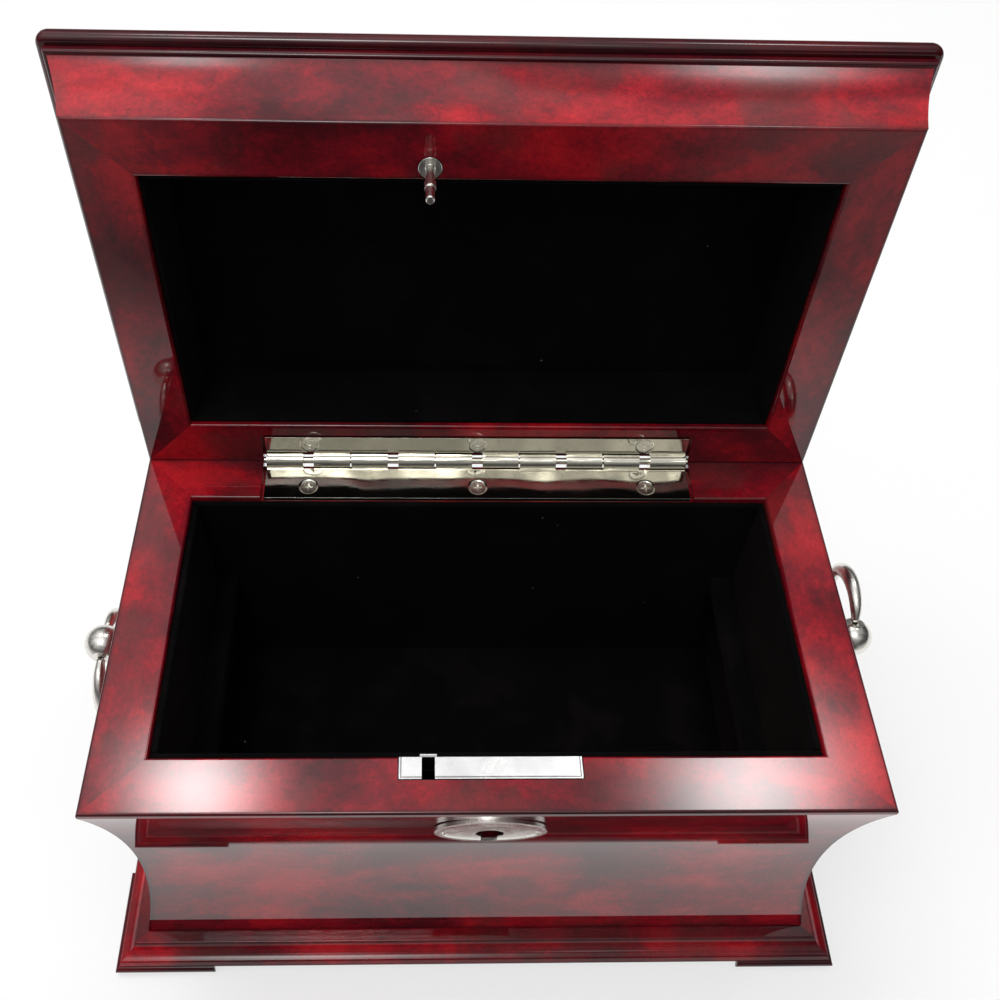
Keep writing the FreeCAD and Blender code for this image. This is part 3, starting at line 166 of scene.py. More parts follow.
class Graph:
    """The node tree of one material, or of the surround."""

    def __init__(self, name: str, owner: bpy.types.ID | None = None) -> None:
        self.material = owner or bpy.data.materials.new(name)
        self.material.use_nodes = True
        self.tree = self.material.node_tree
        self.tree.nodes.clear()

    def feed(self, socket: bpy.types.NodeSocket, value) -> None:
        """Links a wire to a socket, or sets the socket's own value."""
        if isinstance(value, Wire):
            self.tree.links.new(value.socket, socket)
        elif value is not None:
            socket.default_value = value

    def node(self, kind: str, *values, output: int | str = 0, named: dict | None = None,
             **settings) -> "Wire | None":
        """Adds any node.

        Args:
            kind: the node's type.
            values: its inputs in order; None leaves an input as it is.
            output: the output that is wanted.
            named: inputs by name.
            settings: the node's properties.

        Returns:
            The chosen output.
        """
        made = self.tree.nodes.new(kind)
        for key, value in settings.items():
            setattr(made, key, value)
        for socket, value in zip(made.inputs, values):
            self.feed(socket, value)
        for key, value in (named or {}).items():
            self.feed(made.inputs[key], value)
        return Wire(self, made.outputs[output]) if made.outputs else None

    def place(self) -> Wire:
        """Object coordinates, which are the chest's own."""
        return self.node("ShaderNodeTexCoord", output="Object")

    def split(self, vector: Wire) -> tuple[Wire, Wire, Wire]:
        """The three coordinates of a vector."""
        made = self.tree.nodes.new("ShaderNodeSeparateXYZ")
        self.feed(made.inputs[0], vector)
        return tuple(Wire(self, made.outputs[i]) for i in range(3))

    def joined(self, x, y, z) -> Wire:
        """A vector of three values."""
        return self.node("ShaderNodeCombineXYZ", x, y, z)

    def noise(self, vector: Wire, scale: float, detail: float = 4.0, rough: float = 0.5,
              distortion: float = 0.0) -> Wire:
        """Cloudy noise from 0 to 1, of a given number of patches to the metre."""
        return self.node(
            "ShaderNodeTexNoise",
            named={"Vector": vector, "Scale": scale, "Detail": detail, "Roughness": rough,
                   "Distortion": distortion},
        )

    def cells(self, vector: Wire, scale: float, feature: str = "F1", output="Distance") -> Wire:
        """Distance to the nearest of many scattered points, or their colour."""
        return self.node(
            "ShaderNodeTexVoronoi", named={"Vector": vector, "Scale": scale}, feature=feature,
            output=output,
        )

    def mix(self, factor, first, second) -> Wire:
        """A blend of two colours."""
        made = self.tree.nodes.new("ShaderNodeMix")
        made.data_type = "RGBA"
        for place, value in ((0, factor), (6, first), (7, second)):
            if not isinstance(value, (Wire, float)):
                value = (*value, 1.0)
            self.feed(made.inputs[place], value)
        return Wire(self, made.outputs[2])

    def bump(self, height: Wire, distance: float, strength: float = 1.0,
             under: Wire | None = None) -> Wire:
        """A normal tilted by a height field, in metres."""
        return self.node(
            "ShaderNodeBump",
            named={"Height": height, "Distance": distance, "Strength": strength,
                   "Normal": under},
        )

    def finish(self, **inputs) -> bpy.types.Material:
        """Ends the tree in one surface shader.

        Args:
            inputs: the shader's inputs, with spaces written as underscores.

        Returns:
            The finished material.
        """
        surface = self.node(
            "ShaderNodeBsdfPrincipled",
            named={key.replace("_", " "): value for key, value in inputs.items()},
        )
        self.node("ShaderNodeOutputMaterial", surface)
        return self.material


def lid_place(graph: Graph) -> tuple[Wire, Wire, Wire]:
    """Coordinates in the lid: across, away from the hinge, and out through the top."""
    x, y, z = graph.split(graph.place())
    back, up = y - HINGE_Y, z - HINGE_Z
    cosine, sine = math.cos(OPEN_ANGLE), math.sin(OPEN_ANGLE)
    return x, up * sine - back * cosine, back * sine + up * cosine


@dataclass(frozen=True)
class Lacquer:
    """Cherry burl under a thick, polished lacquer."""

    part: Part
    grain: Grain

    def near(self, first: Wire, second: Wire, width: float) -> Wire:
        """1 on the line where two distances are nought, fading over a width."""
        return (-(first * first + second * second) / (width * width)).exp()

    def painted_edge_shade(self, graph: Graph, x: Wire, y: Wire, z: Wire) -> Wire:
        """How much painted shade and dark reflection a point gets near edges, joints and hollows.
        """
        side, deep = abs(x), abs(y)
        if self.part is Part.CASE:
            # Painted dark reflection along the rim's outer edges; painted shade along the
            # opening's edge, in the gap at the wall's foot and in the keyhole's bore; a dark line
            # down each outer corner.
            rim = z - RIM_Z
            outer = self.near(side - RIM_X, rim, 1.3 * MM).at_least(
                self.near(deep - RIM_Y, rim, 1.3 * MM))
            opening = (side - OPENING_X).at_least(deep - OPENING_Y)
            inner = self.near(opening, rim, 0.9 * MM)
            mitre = (side - deep - (RIM_X - RIM_Y)) / (1.6 * MM)
            skirt = (z * -1.0 + 135.0 * MM).step(0.0, 10 * MM)
            outside = (side - 122 * MM).step(0.0, 1 * MM)
            corner = (-(mitre * mitre)).exp() * skirt * outside
            foot = (-((z - WALL_FOOT_Z) / (2.5 * MM)) ** 2.0).exp() * 0.7
            bore = self.near(x - KEYHOLE_X, z - KEYHOLE_Z, 9.0 * MM)
            bore = bore * (deep - 60 * MM).step(0.0, 2 * MM)
            lines = outer.at_least(inner * 0.6).at_least(corner * 0.75)
            return lines.at_least(foot).at_least(bore * 1.3)
        if self.part is Part.BASE:
            # Painted shade in the gap at the top step, along the hollow's lower edge and over the
            # feet near the floor.
            step = (z - 12.9 * MM) / (0.8 * MM)
            face = (z - 7.6 * MM) / (1.6 * MM)
            low = (5.8 * MM - z).step(-1.0 * MM, 1.2 * MM)
            lines = (-(step * step)).exp() * 0.8
            ogee = (-(face * face)).exp() * 0.45
            return lines.at_least(ogee).at_least(low)
        if self.part is Part.LID:
            # Painted dark reflection on the rim's outer edges; painted shade along the recess's
            # edge and under the top's overhang.
            front = y - LID_DEPTH
            rim = self.near(side - RIM_X, z, 1.2 * MM).at_least(self.near(front, z, 1.2 * MM))
            opening = (side - OPENING_X).at_least(abs(y - RIM_Y) - OPENING_Y)
            hollow = self.near(opening, z, 0.8 * MM)
            under = (-((z - 27 * MM) / (2.2 * MM)) ** 2.0).exp()
            return rim.at_least(hollow * 0.5).at_least(under * 0.6)
        # Painted dark reflection on the top's border; painted shade on its underside and bead.
        reach = (z - 33.0 * MM).step(-2.5 * MM, 1.0 * MM)
        painted_border_shade = (side - 146 * MM).step(0.0, 5 * MM).at_least(
            (abs(y - RIM_Y) - 84.5 * MM).step(0.0, 5 * MM))
        return painted_border_shade.at_least(1.0 - reach)

    def material(self) -> bpy.types.Material:
        """Figure and pores, with painted shade and dark reflection along edges and hollows, under
        a clear coat.
        """
        graph = Graph(f"lacquer_{self.part.value}_{self.grain.name.lower()}")
        if self.part in (Part.LID, Part.TOP):
            x, y, z = lid_place(graph)
        else:
            x, y, z = graph.split(graph.place())
        along, across, _ = self.grain.value
        figure = graph.joined(x * along, y * across, z)
        shift = {Part.CASE: 0.0, Part.BASE: 3.1, Part.LID: 7.7, Part.TOP: 11.3}[self.part]
        drawn = graph.joined(x * along + shift, y * across + shift, z)
        clouds = graph.noise(drawn, 24.0, 2.0, 0.5, 0.3)
        flames = graph.noise(drawn, 85.0, 5.0, 0.62, 0.5)
        curls = graph.noise(drawn, 420.0, 4.0, 0.62, 0.8)
        depth = clouds * 0.55 + flames * 0.27 + curls * 0.18
        tone = depth.ramp([
            (0.37, (0.062, 0.0050, 0.0090)),
            (0.44, (0.140, 0.0045, 0.0105)),
            (0.50, (0.250, 0.0045, 0.0130)),
            (0.56, (0.410, 0.0065, 0.0150)),
            (0.63, (0.580, 0.0120, 0.0200)),
        ])
        smoke = graph.noise(figure, 31.0, 3.0, 0.55, 0.3).step(0.50, 0.64)
        tone = graph.mix(smoke * 0.55, tone, (0.100, 0.022, 0.022))
        fibre = graph.noise(graph.joined(x * along, y * across, z * 0.6), 1500.0, 3.0, 0.7, 1.0)
        tone = graph.mix((fibre - 0.5) * 1.3 + 0.12, tone, (0.055, 0.004, 0.006))
        flecks = graph.cells(graph.joined(x * along, y * across, z * 0.7), 620.0)
        tone = graph.mix(flecks.step(0.30, 0.08) * 0.30, tone, (0.050, 0.003, 0.005))
        # Painted shade and dark reflection: the mask below darkens the wood towards a near-black
        # red.
        edge = self.painted_edge_shade(graph, x, y, z)
        wander = graph.noise(graph.place(), 300.0, 3.0) * 0.5 + 0.75
        tone = graph.mix((edge * wander).at_most(0.85), tone, (0.020, 0.0012, 0.0035))
        dust = graph.noise(graph.place(), 900.0, 2.0).step(0.60, 0.80)
        return graph.finish(
            Base_Color=tone,
            Roughness=dust * 0.10 + 0.45,
            Specular_IOR_Level=0.0,
            Coat_Weight=0.55 if self.part is Part.BASE else 1.0,
            Coat_Roughness=0.03,
            Coat_IOR=1.55,
        )


@dataclass(frozen=True)
class Velvet:
    """Short black pile with a faint brown glow and a little lint."""

    name: str = "velvet"
    pile: tuple[float, float, float] = (0.0009, 0.0008, 0.0010)
    glow: tuple[float, float, float] = (0.0050, 0.0036, 0.0042)
    lint: float = 1.0

    def material(self) -> bpy.types.Material:
        """Pile direction, fibre noise, lint, and a soft sheen."""
        graph = Graph(self.name)
        place = graph.place()
        brushed = graph.noise(place, 34.0, 4.0, 0.6, 0.8)
        fibres = graph.noise(place, 2600.0, 3.0, 0.7)
        tone = graph.mix(brushed.step(0.42, 0.72) * (fibres * 0.8 + 0.4), self.pile, self.glow)
        specks = graph.cells(place, 150.0)
        chosen = graph.cells(place, 150.0, output="Color")
        rare = graph.split(chosen)[0].step(0.94, 0.97)
        tone = graph.mix(specks.step(0.075, 0.035) * rare * self.lint, tone, (0.32, 0.30, 0.29))
        nap = graph.bump(fibres, 0.25 * MM, 0.7)
        return graph.finish(
            Base_Color=tone,
            Roughness=brushed * 0.1 + 0.88,
            Specular_IOR_Level=0.12,
            Sheen_Weight=0.018,
            Sheen_Roughness=0.35,
            Sheen_Tint=(0.75, 0.52, 0.45, 1.0),
            Normal=graph.bump(brushed, 0.5 * MM, 0.35, nap),
        )


@dataclass(frozen=True)
class Metal:
    """Plated metal, from mirror-bright to satin."""

    name: str
    tint: tuple[float, float, float]
    worn: tuple[float, float, float]
    polish: float
    smear: float
    scratch: float = 0.02
    buckle: float = 0.0
    outline: tuple[float, float, float, float] | None = None

    def painted_border_shade(self, x: Wire, y: Wire, z: Wire) -> Wire:
        """Painted shade: a thin dark line just inside the plate's upper face for the gap around
        it, and dark ends around it below the face.
        """
        middle_x, half_x, middle_y, half_y = self.outline
        inward = (half_x * MM - abs(x - middle_x * MM)).at_most(
            half_y * MM - abs(y - middle_y * MM))
        line = (-((inward - 0.85 * MM) / (0.24 * MM)) ** 2.0).exp() * 0.8
        rim = inward.step(0.30 * MM, 0.05 * MM)
        return line.at_least(rim).at_least((z - 138.6 * MM).step(0.0, -0.3 * MM))

    def material(self) -> bpy.types.Material:
        """Smudges, fine scratches and small pits over the plating, with painted shade at a plate's
        edges when an outline is given.
        """
        graph = Graph(self.name)
        place = graph.place()
        x, y, z = graph.split(place)
        smudge = graph.noise(place, 120.0, 5.0, 0.6, 0.5)
        lines = graph.noise(graph.joined(x * 0.12, y, z), 3200.0, 2.0, 0.6)
        grime = graph.noise(place, 420.0, 4.0, 0.65).step(0.55, 0.78)
        tone = graph.mix(grime * 0.75, self.tint, self.worn)
        if self.outline:
            # Painted shade along the lock plate's edges and on the case below its face.
            tone = graph.mix(self.painted_border_shade(x, y, z), tone, (0.045, 0.035, 0.035))
        pits = graph.cells(place, 900.0).step(0.10, 0.0)
        height = lines * 0.6 + smudge * 0.4 - pits
        return graph.finish(
            Base_Color=tone,
            Metallic=1.0,
            Roughness=smudge.step(0.35, 0.75) * self.smear + self.polish + lines * 0.02,
            Normal=graph.bump(height, self.scratch * MM, 0.5, self.waves(graph, x, y, z)),
        )

    def waves(self, graph: Graph, x: Wire, y: Wire, z: Wire) -> Wire | None:
        """A normal for the slow unevenness of a stamped sheet."""
        if not self.buckle:
            return None
        slow = graph.noise(graph.joined(x, y * 0.6, z * 0.6), 34.0, 1.0, 0.4)
        return graph.bump(slow, self.buckle * MM, 1.0)


@dataclass(frozen=True)
class Board:
    """Plain fibreboard, seen from below only."""

    name: str = "panel_board"

    def material(self) -> bpy.types.Material:
        """Pressed fibres in a brown board."""
        graph = Graph(self.name)
        place = graph.place()
        fibres = graph.noise(place, 900.0, 5.0, 0.7, 1.5)
        clouds = graph.noise(place, 30.0, 3.0)
        tone = (fibres * 0.6 + clouds * 0.4).ramp([
            (0.30, (0.060, 0.032, 0.020)), (0.55, (0.120, 0.070, 0.042)),
            (0.75, (0.200, 0.130, 0.085)),
        ])
        return graph.finish(Base_Color=tone, Roughness=fibres * 0.2 + 0.65,
                            Normal=graph.bump(fibres, 0.15 * MM, 0.6))


NICKEL = Metal("hinge_nickel", (0.830, 0.800, 0.690), (0.560, 0.510, 0.400), 0.05, 0.07,
               buckle=1.8)
SCREWS = Metal("screw_nickel", (0.900, 0.880, 0.800), (0.420, 0.380, 0.300), 0.16, 0.12, 0.06)
STEEL = Metal("lock_steel", (0.900, 0.905, 0.900), (0.760, 0.760, 0.740), 0.20, 0.08,
              outline=LOCK_FACE)
SATIN = Metal("satin_nickel", (0.820, 0.795, 0.745), (0.440, 0.405, 0.350), 0.20, 0.10, 0.05)
# Near-black metal for the lock's inner parts seen in the slot: painted shade.
SLOT_SHADE_STEEL = Metal("lock_inside_shaded", (0.060, 0.058, 0.055), (0.030, 0.028, 0.026), 0.45, 0.10, 0.05)
PILE = Velvet()
FELT = Velvet("foot_felt", (0.010, 0.010, 0.011), (0.030, 0.028, 0.028), 0.3)


class Palette:
    """Keeps one material for each finish."""

    def __init__(self) -> None:
        self._made: dict = {}

    def get(self, finish) -> bpy.types.Material:
        """The material of a finish, made on its first use."""
        if finish not in self._made:
            self._made[finish] = finish.material()
        return self._made[finish]


PALETTE = Palette()


def paint(piece: bpy.types.Object, finish) -> bpy.types.Object:
    """Gives every face of a piece one finish."""
    piece.data.materials.clear()
    piece.data.materials.append(PALETTE.get(finish))
    return piece


def new_object(name: str, mesh: bpy.types.Mesh) -> bpy.types.Object:
    """Links a mesh to the scene as a new object."""
    made = bpy.data.objects.new(name, mesh)
    bpy.context.scene.collection.objects.link(made)
    return made


def mesh_of(name: str, points: np.ndarray, faces: list, smooth: bool = True) -> bpy.types.Object:
    """Makes an object of points in metres and faces.

    Args:
        name: the object's name.
        points: an array of n by 3.
        faces: corner numbers of each face.
        smooth: whether the faces are shaded as one surface.

    Returns:
        The object.
    """
    mesh = bpy.data.meshes.new(name)
    mesh.from_pydata(np.asarray(points, float).tolist(), [], [list(map(int, f)) for f in faces])
    mesh.validate()
    mesh.polygons.foreach_set("use_smooth", np.full(len(mesh.polygons), smooth))
    mesh.update()
    return new_object(name, mesh)


def grid_faces(rows: int, columns: int, wrap: bool = False) -> np.ndarray:
    """Corner numbers of the quads of a grid whose points run along the columns first."""
    last = columns if wrap else columns - 1
    row, column = np.meshgrid(np.arange(rows - 1), np.arange(last), indexing="ij")
    after = (column + 1) % columns
    quads = [row * columns + column, row * columns + after,
             (row + 1) * columns + after, (row + 1) * columns + column]
    return np.stack([q.ravel() for q in quads], axis=1)


def rounded_slab(lows: np.ndarray, highs: np.ndarray, radius: float,
                 pitch: float) -> tuple[np.ndarray, np.ndarray]:
    """A box with rounded edges.

    Each side is a grid. A point is first held inside the box shrunk by the radius, then
    moved out along the line from there to its place on the box, by the radius.

    Args:
        lows: lowest corner.
        highs: highest corner.
        radius: rounding of the edges.
        pitch: distance between grid points.

    Returns:
        The points and the quads, whose shared border points are separate.
    """
    points, faces, start = [], [], 0
    for axis in range(3):
        first, second = [i for i in range(3) if i != axis]
        spans = []
        for i in (first, second):
            count = max(3, int(round((highs[i] - lows[i]) / pitch)) + 1)
            inner = np.linspace(lows[i] + radius, highs[i] - radius, count)
            rim = radius * (1 - np.tan(np.radians([45, 30, 15])))
            spans.append(np.concatenate([lows[i] + rim, inner, (highs[i] - rim)[::-1]]))
        for end, sign in ((lows[axis], -1), (highs[axis], 1)):
            a, b = np.meshgrid(*spans, indexing="ij")
            block = np.empty((*a.shape, 3))
            block[..., first], block[..., second], block[..., axis] = a, b, end
            core = np.clip(block, lows + radius, highs - radius)
            out = block - core
            out /= np.linalg.norm(out, axis=-1, keepdims=True)
            block = core + out * radius
            quads = grid_faces(a.shape[0], a.shape[1])
            if (sign > 0) == (axis == 1):
                quads = quads[:, ::-1]
            points.append(block.reshape(-1, 3))
            faces.append(quads + start)
            start += a.size
    return np.concatenate(points), np.concatenate(faces)


def weld(piece: bpy.types.Object, distance: float = 1e-6) -> bpy.types.Object:
    """Joins the points of a piece that lie on each other."""
    work = bmesh.new()
    work.from_mesh(piece.data)
    bmesh.ops.remove_doubles(work, verts=work.verts, dist=distance)
    bmesh.ops.recalc_face_normals(work, faces=work.faces)
    work.to_mesh(piece.data)
    work.free()
    return piece


def ripple(points: np.ndarray, size: float, length: float, seed: float) -> np.ndarray:
    """A gentle unevenness: the product and sum of three slow waves of unlike lengths."""
    x, y, z = (points * (2 * math.pi / length)).T
    wave = np.sin(x * 0.83 + y * 0.61 + z * 0.37 + seed)
    wave += 0.6 * np.sin(x * 1.71 - y * 1.37 + z * 0.93 + 2.3 * seed)
    wave += 0.4 * np.sin(y * 2.9 + z * 2.3 - x * 2.1 + 4.1 * seed)
    return wave * (size / 2.0)


def eased(name: str, nodes: list[str], width: float, angle: float = 32.0,
          segments: int = 2) -> bpy.types.Object:
    """A copy of CAD nodes with their sharp edges rubbed round.

    Args:
        name: the new piece's name.
        nodes: the nodes that it stands for.
        width: width of the rounding in metres.
        angle: edges sharper than this are rounded, in degrees.
        segments: steps of the rounding.

    Returns:
        The piece.
    """
    work = bmesh.new()
    for node in nodes:
        work.from_mesh(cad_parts[node].data)
    bmesh.ops.remove_doubles(work, verts=work.verts, dist=2e-6)
    bmesh.ops.dissolve_limit(work, angle_limit=math.radians(0.6), verts=work.verts,
                             edges=work.edges)
    mesh = bpy.data.meshes.new(name)
    work.to_mesh(mesh)
    work.free()
    mesh.polygons.foreach_set("use_smooth", np.full(len(mesh.polygons), True))
    made = new_object(name, mesh)
    bevel = made.modifiers.new("arris", "BEVEL")
    bevel.width = width
    bevel.segments = segments
    bevel.limit_method = "ANGLE"
    bevel.angle_limit = math.radians(angle)
    bevel.use_clamp_overlap = True
    bevel.miter_outer = "MITER_ARC"
    flow = made.modifiers.new("flow", "WEIGHTED_NORMAL")
    flow.keep_sharp = False
    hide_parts(*nodes)
    return made


def tube(name: str, path: np.ndarray, radii: np.ndarray, sides: int) -> bpy.types.Object:
    """A round bar along a plane path, with a radius for each point and closed ends.

    The section at a point lies across the path's direction there; its two directions are the
    normal of the path's plane and the direction square to both.
    """
    ahead = np.gradient(path, axis=0)
    ahead /= np.linalg.norm(ahead, axis=1, keepdims=True)
    middle = len(path) // 2
    normal = np.cross(path[middle] - path[0], path[-1] - path[0])
    normal /= np.linalg.norm(normal)
    beside = np.cross(ahead, normal)
    turn = np.linspace(0, 2 * math.pi, sides, endpoint=False)
    ring = (np.cos(turn)[None, :, None] * beside[:, None, :]
            + np.sin(turn)[None, :, None] * normal[None, None, :])
    points = path[:, None, :] + ring * radii[:, None, None]
    faces = grid_faces(len(path), sides, wrap=True).tolist()
    faces.append(list(range(sides))[::-1])
    faces.append([(len(path) - 1) * sides + i for i in range(sides)])
    made = mesh_of(name, points.reshape(-1, 3), faces)
    return weld(made, 1e-8)


@dataclass
class Woodwork:
    """The lacquered walls, base moulding, feet, and lid."""

    pieces: dict[str, tuple[Part, Grain]] = field(default_factory=lambda: {
        "front_wall": (Part.CASE, Grain.ALONG), "back_wall": (Part.CASE, Grain.ALONG),
        "left_wall": (Part.CASE, Grain.ACROSS), "right_wall": (Part.CASE, Grain.ACROSS),
        "base_front": (Part.BASE, Grain.ALONG), "base_back": (Part.BASE, Grain.ALONG),
        "base_left": (Part.BASE, Grain.ACROSS), "base_right": (Part.BASE, Grain.ACROSS),
        "foot_front_left": (Part.BASE, Grain.ALONG), "foot_front_right": (Part.BASE, Grain.ALONG),
        "foot_back_left": (Part.BASE, Grain.ALONG), "foot_back_right": (Part.BASE, Grain.ALONG),
        "lid_front_rail": (Part.LID, Grain.ALONG), "lid_back_rail": (Part.LID, Grain.ALONG),
        "lid_left_rail": (Part.LID, Grain.ACROSS), "lid_right_rail": (Part.LID, Grain.ACROSS),
        "lid_bead": (Part.TOP, Grain.ALONG), "lid_top": (Part.TOP, Grain.ALONG),
    })
    beaded: tuple[str, ...] = ("back_wall", "lid_back_rail")
    rounding: float = 1.02
    bead: float = 0.07

    def swollen(self, node: str, body: str, middle: tuple[float, float], way: int) -> None:
        """A copy of a node whose rounded back edge carries a bead of lacquer.

        A point of the rounding moves back and up by the bead's size times twice the product
        of the two parts of its direction from the rounding's middle, so the ends of the curve
        stay put.

        Args:
            node: the node to copy.
            body: the body that carries it.
            middle: the rounding's middle, back and up, in millimetres.
            way: 1 for the edge that faces up and back, -1 for the one that faces it.
        """
        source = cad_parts[node]
        mesh = source.data.copy()
        places = np.empty(len(mesh.vertices) * 3, np.float32)
        mesh.vertices.foreach_get("co", places)
        places = places.reshape(-1, 3)
        out = (places[:, 1:] - np.array(middle) * MM) * (way / MM)
        chosen = (out > 0).all(axis=1) & (np.linalg.norm(out, axis=1) < self.rounding)
        lift = np.where(chosen, 2 * out[:, 0] * out[:, 1], 0.0) * self.bead * MM * way
        places[:, 1:] += lift[:, None]
        mesh.vertices.foreach_set("co", places.ravel())
        mesh.update()
        made = new_object(f"{node}_lacquered", mesh)
        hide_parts(node)
        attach(made, body)
        paint(made, Lacquer(*self.pieces[node]))

    def build(self) -> None:
        """Lacquers the wooden nodes and paints the bottom board."""
        for node, (part, grain) in self.pieces.items():
            if node not in self.beaded:
                paint(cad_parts[node], Lacquer(part, grain))
            LOG.info("lacquered %s", node)
        self.swollen("back_wall", "case", (77.5, 138.0), 1)
        self.swollen("lid_back_rail", "lid", (79.05, 139.463), -1)
        paint(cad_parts["bottom_panel"], Board())


@dataclass
class VelvetBoard:
    """A thin board wrapped in velvet, with soft edges and a slightly uneven face."""

    node: str
    body: str
    radius: float = 0.9 * MM
    uneven: float = 0.16 * MM
    pitch: float = 3.0 * MM
    crown: float = 0.0
    cushion: bool = False

    def build(self) -> bpy.types.Object:
        """Fits a rounded slab to the node's box, in the lid's own directions for the lid."""
        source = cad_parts[self.node].data
        places = np.empty(len(source.vertices) * 3, np.float32)
        source.vertices.foreach_get("co", places)
        places = places.reshape(-1, 3).astype(float)
        turn = np.eye(3)
        if self.body == "lid":
            turn = np.array(Matrix.Rotation(OPEN_ANGLE - math.pi / 2, 3, "X"))
        local = places @ turn.T
        lows, highs = local.min(0), local.max(0)
        thin = int(np.argmin(highs - lows))
        radius = min(self.radius, (highs - lows)[thin] * 0.45)
        points, faces = rounded_slab(lows, highs, radius, self.pitch)
        middle = (lows + highs) / 2
        reach = (highs - lows) / 2
        share = np.clip(np.abs((points - middle) / reach), 0, 1)
        wide = [i for i in range(3) if i != thin]
        inside = np.prod(1 - share[:, wide] ** 6, axis=1)
        side = np.sign(points[:, thin] - middle[thin])
        lift = inside * (ripple(points, self.uneven, 61 * MM, len(self.node)) + self.crown)
        points[:, thin] += side * lift
        made = weld(mesh_of(f"{self.node}_cloth", points @ turn, faces.tolist()), 2e-6)
        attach(made, self.body)
        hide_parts(self.node)
        LOG.info("wrapped %s", self.node)
        return paint(made, PILE)


@dataclass
class Interior:
    """The velvet of the case and of the lid."""

    case_boards: tuple[str, ...] = ("lining_front", "lining_back", "lining_left", "lining_right")
    lid_boards: tuple[str, ...] = (
        "lid_lining_front", "lid_lining_back", "lid_lining_left", "lid_lining_right")

    def build(self) -> None:
        """Builds every velvet-covered board and pad."""
        for node in self.case_boards:
            VelvetBoard(node, "case").build()
        for node in self.lid_boards:
            VelvetBoard(node, "lid").build()
        for node in ("left_ledge", "right_ledge"):
            VelvetBoard(node, "case", radius=1.4 * MM, uneven=0.2 * MM).build()
        VelvetBoard("floor_pad", "case", crown=0.5 * MM, cushion=True, pitch=4 * MM).build()
        VelvetBoard("lid_pad", "lid", crown=0.4 * MM, cushion=True, pitch=4 * MM).build()


@dataclass
class Hardware:
    """Hinge, lock, escutcheon and strike pin."""

    def build(self) -> None:
        """Builds the metal fittings with softened edges."""
        plan = [
            ("hinge_lower_leaf", ["hinge_body_leaf"], "case", NICKEL, "hinge_nickel", 0.25),
            ("hinge_upper_leaf", ["hinge_lid_leaf"], "lid", NICKEL, "hinge_nickel", 0.25),
            ("hinge_rod", ["hinge_pin"], "case", NICKEL, "hinge_nickel", 0.3),
            ("lower_screws", ["hinge_body_screws"], "case", SCREWS, "hinge_nickel", 0.12),
            ("upper_screws", ["hinge_lid_screws"], "lid", SCREWS, "hinge_nickel", 0.12),
            ("lock_plate", ["lock_case"], "case", STEEL, "lock_steel", 0.2),
            # The lock's inner parts get near-black metal: painted shade in the slot.
            ("lock_front", ["lock_cover"], "case", SLOT_SHADE_STEEL, "lock_steel", 0.1),
            ("sliding_bolt", ["lock_bolt"], "lock_bolt", SLOT_SHADE_STEEL, "lock_steel", 0.1),
            ("turning_cam", ["key_cam"], "key_cam", SLOT_SHADE_STEEL, "lock_steel", 0.1),
            ("plate_screws", ["lock_screws"], "case", STEEL, "lock_steel", 0.1),
            ("keyhole_plate", ["escutcheon"], "case", SATIN, "satin_nickel", 0.25),
            ("keyhole_pins", ["escutcheon_pins"], "case", SATIN, "satin_nickel", 0.15),
            ("latch_pin", ["strike_pin"], "lid", SATIN, "satin_nickel", 0.25),
        ]
        for name, nodes, body, finish, slot, width in plan:
            made = eased(name, nodes, width * MM)
            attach(made, body)
            paint(made, finish)
            LOG.info("made %s", name)


@dataclass
class DropHandle:
    """A ball on a post with a swinging ring, a rosette behind it and a nut inside."""

    side: str
    sign: int
    swing: float
    ball_x: float = 148.2
    ball_y: float = 1.5
    ball_z: float = 121.4
    gap: float = 4.9
    bend: float = 15.2
    start: float = 7.4
    rod: float = 2.5

    def ring(self) -> bpy.types.Object:
        """The ring: two bends and a straight, with arms that swell below their necks."""
        ball = np.array([self.sign * self.ball_x, self.sign * self.ball_y, self.ball_z]) * MM
        gap, bend = self.gap, self.bend
        rise = math.sqrt(bend ** 2 - (self.start - gap) ** 2)
        begin = math.atan2(rise, self.start - gap)
        turn = np.linspace(begin, -math.pi / 2, 46)
        arm = np.stack([gap + bend * np.cos(turn), -rise + bend * np.sin(turn)], axis=1)
        straight = np.linspace(gap, -gap, 9)[1:-1]
        low = np.stack([straight, np.full(7, -rise - bend)], axis=1)
        outline = np.concatenate([arm, low, (arm * (-1, 1))[::-1]]) * MM
        span = np.concatenate([[0.0], np.cumsum(np.linalg.norm(np.diff(outline, axis=0), axis=1))])
        share = span / span[-1]
        near_end = np.minimum(share, 1 - share)
        swell = 0.88 + 0.32 * np.exp(-((near_end - 0.22) / 0.13) ** 2)
        neck = 1.0 - 0.26 * np.exp(-(near_end / 0.04) ** 2)
        radii = self.rod * MM * swell * neck
        lean = np.array(Matrix.Rotation(self.swing, 3, "X"))
        flat = np.stack([np.zeros(len(outline)), outline[:, 0], outline[:, 1]], axis=1)
        path = ball + flat @ lean.T
        made = tube(f"{self.side}_drop_ring", path, radii, 28)
        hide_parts(f"{self.side}_handle_ring")
        return made

    def build(self) -> None:
        """Builds the moving and fixed pieces of one handle."""
        ball = eased(f"{self.side}_drop_ball", [f"{self.side}_handle_ball"], 0.5 * MM, 40, 3)
        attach(ball, f"{self.side}_swivel")
        ring = self.ring()
        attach(ring, f"{self.side}_ring")
        seat = eased(f"{self.side}_rose", [f"{self.side}_handle_rosette"], 0.3 * MM, 35, 3)
        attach(seat, "case")
        nut = eased(f"{self.side}_post_nut", [f"{self.side}_handle_nut"], 0.25 * MM, 30, 2)
        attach(nut, f"{self.side}_swivel")
        for made in (ball, ring, seat, nut):
            paint(made, SATIN)
        LOG.info("made the %s handle", self.side)


@dataclass
class FeltDiscs:
    """Felt glides under the feet."""

    def build(self) -> None:
        """Replaces the plain discs with soft-edged ones."""
        made = eased("felt_glides", ["foot_felts"], 0.25 * MM, 40, 3)
        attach(made, "case")
        paint(made, FELT)


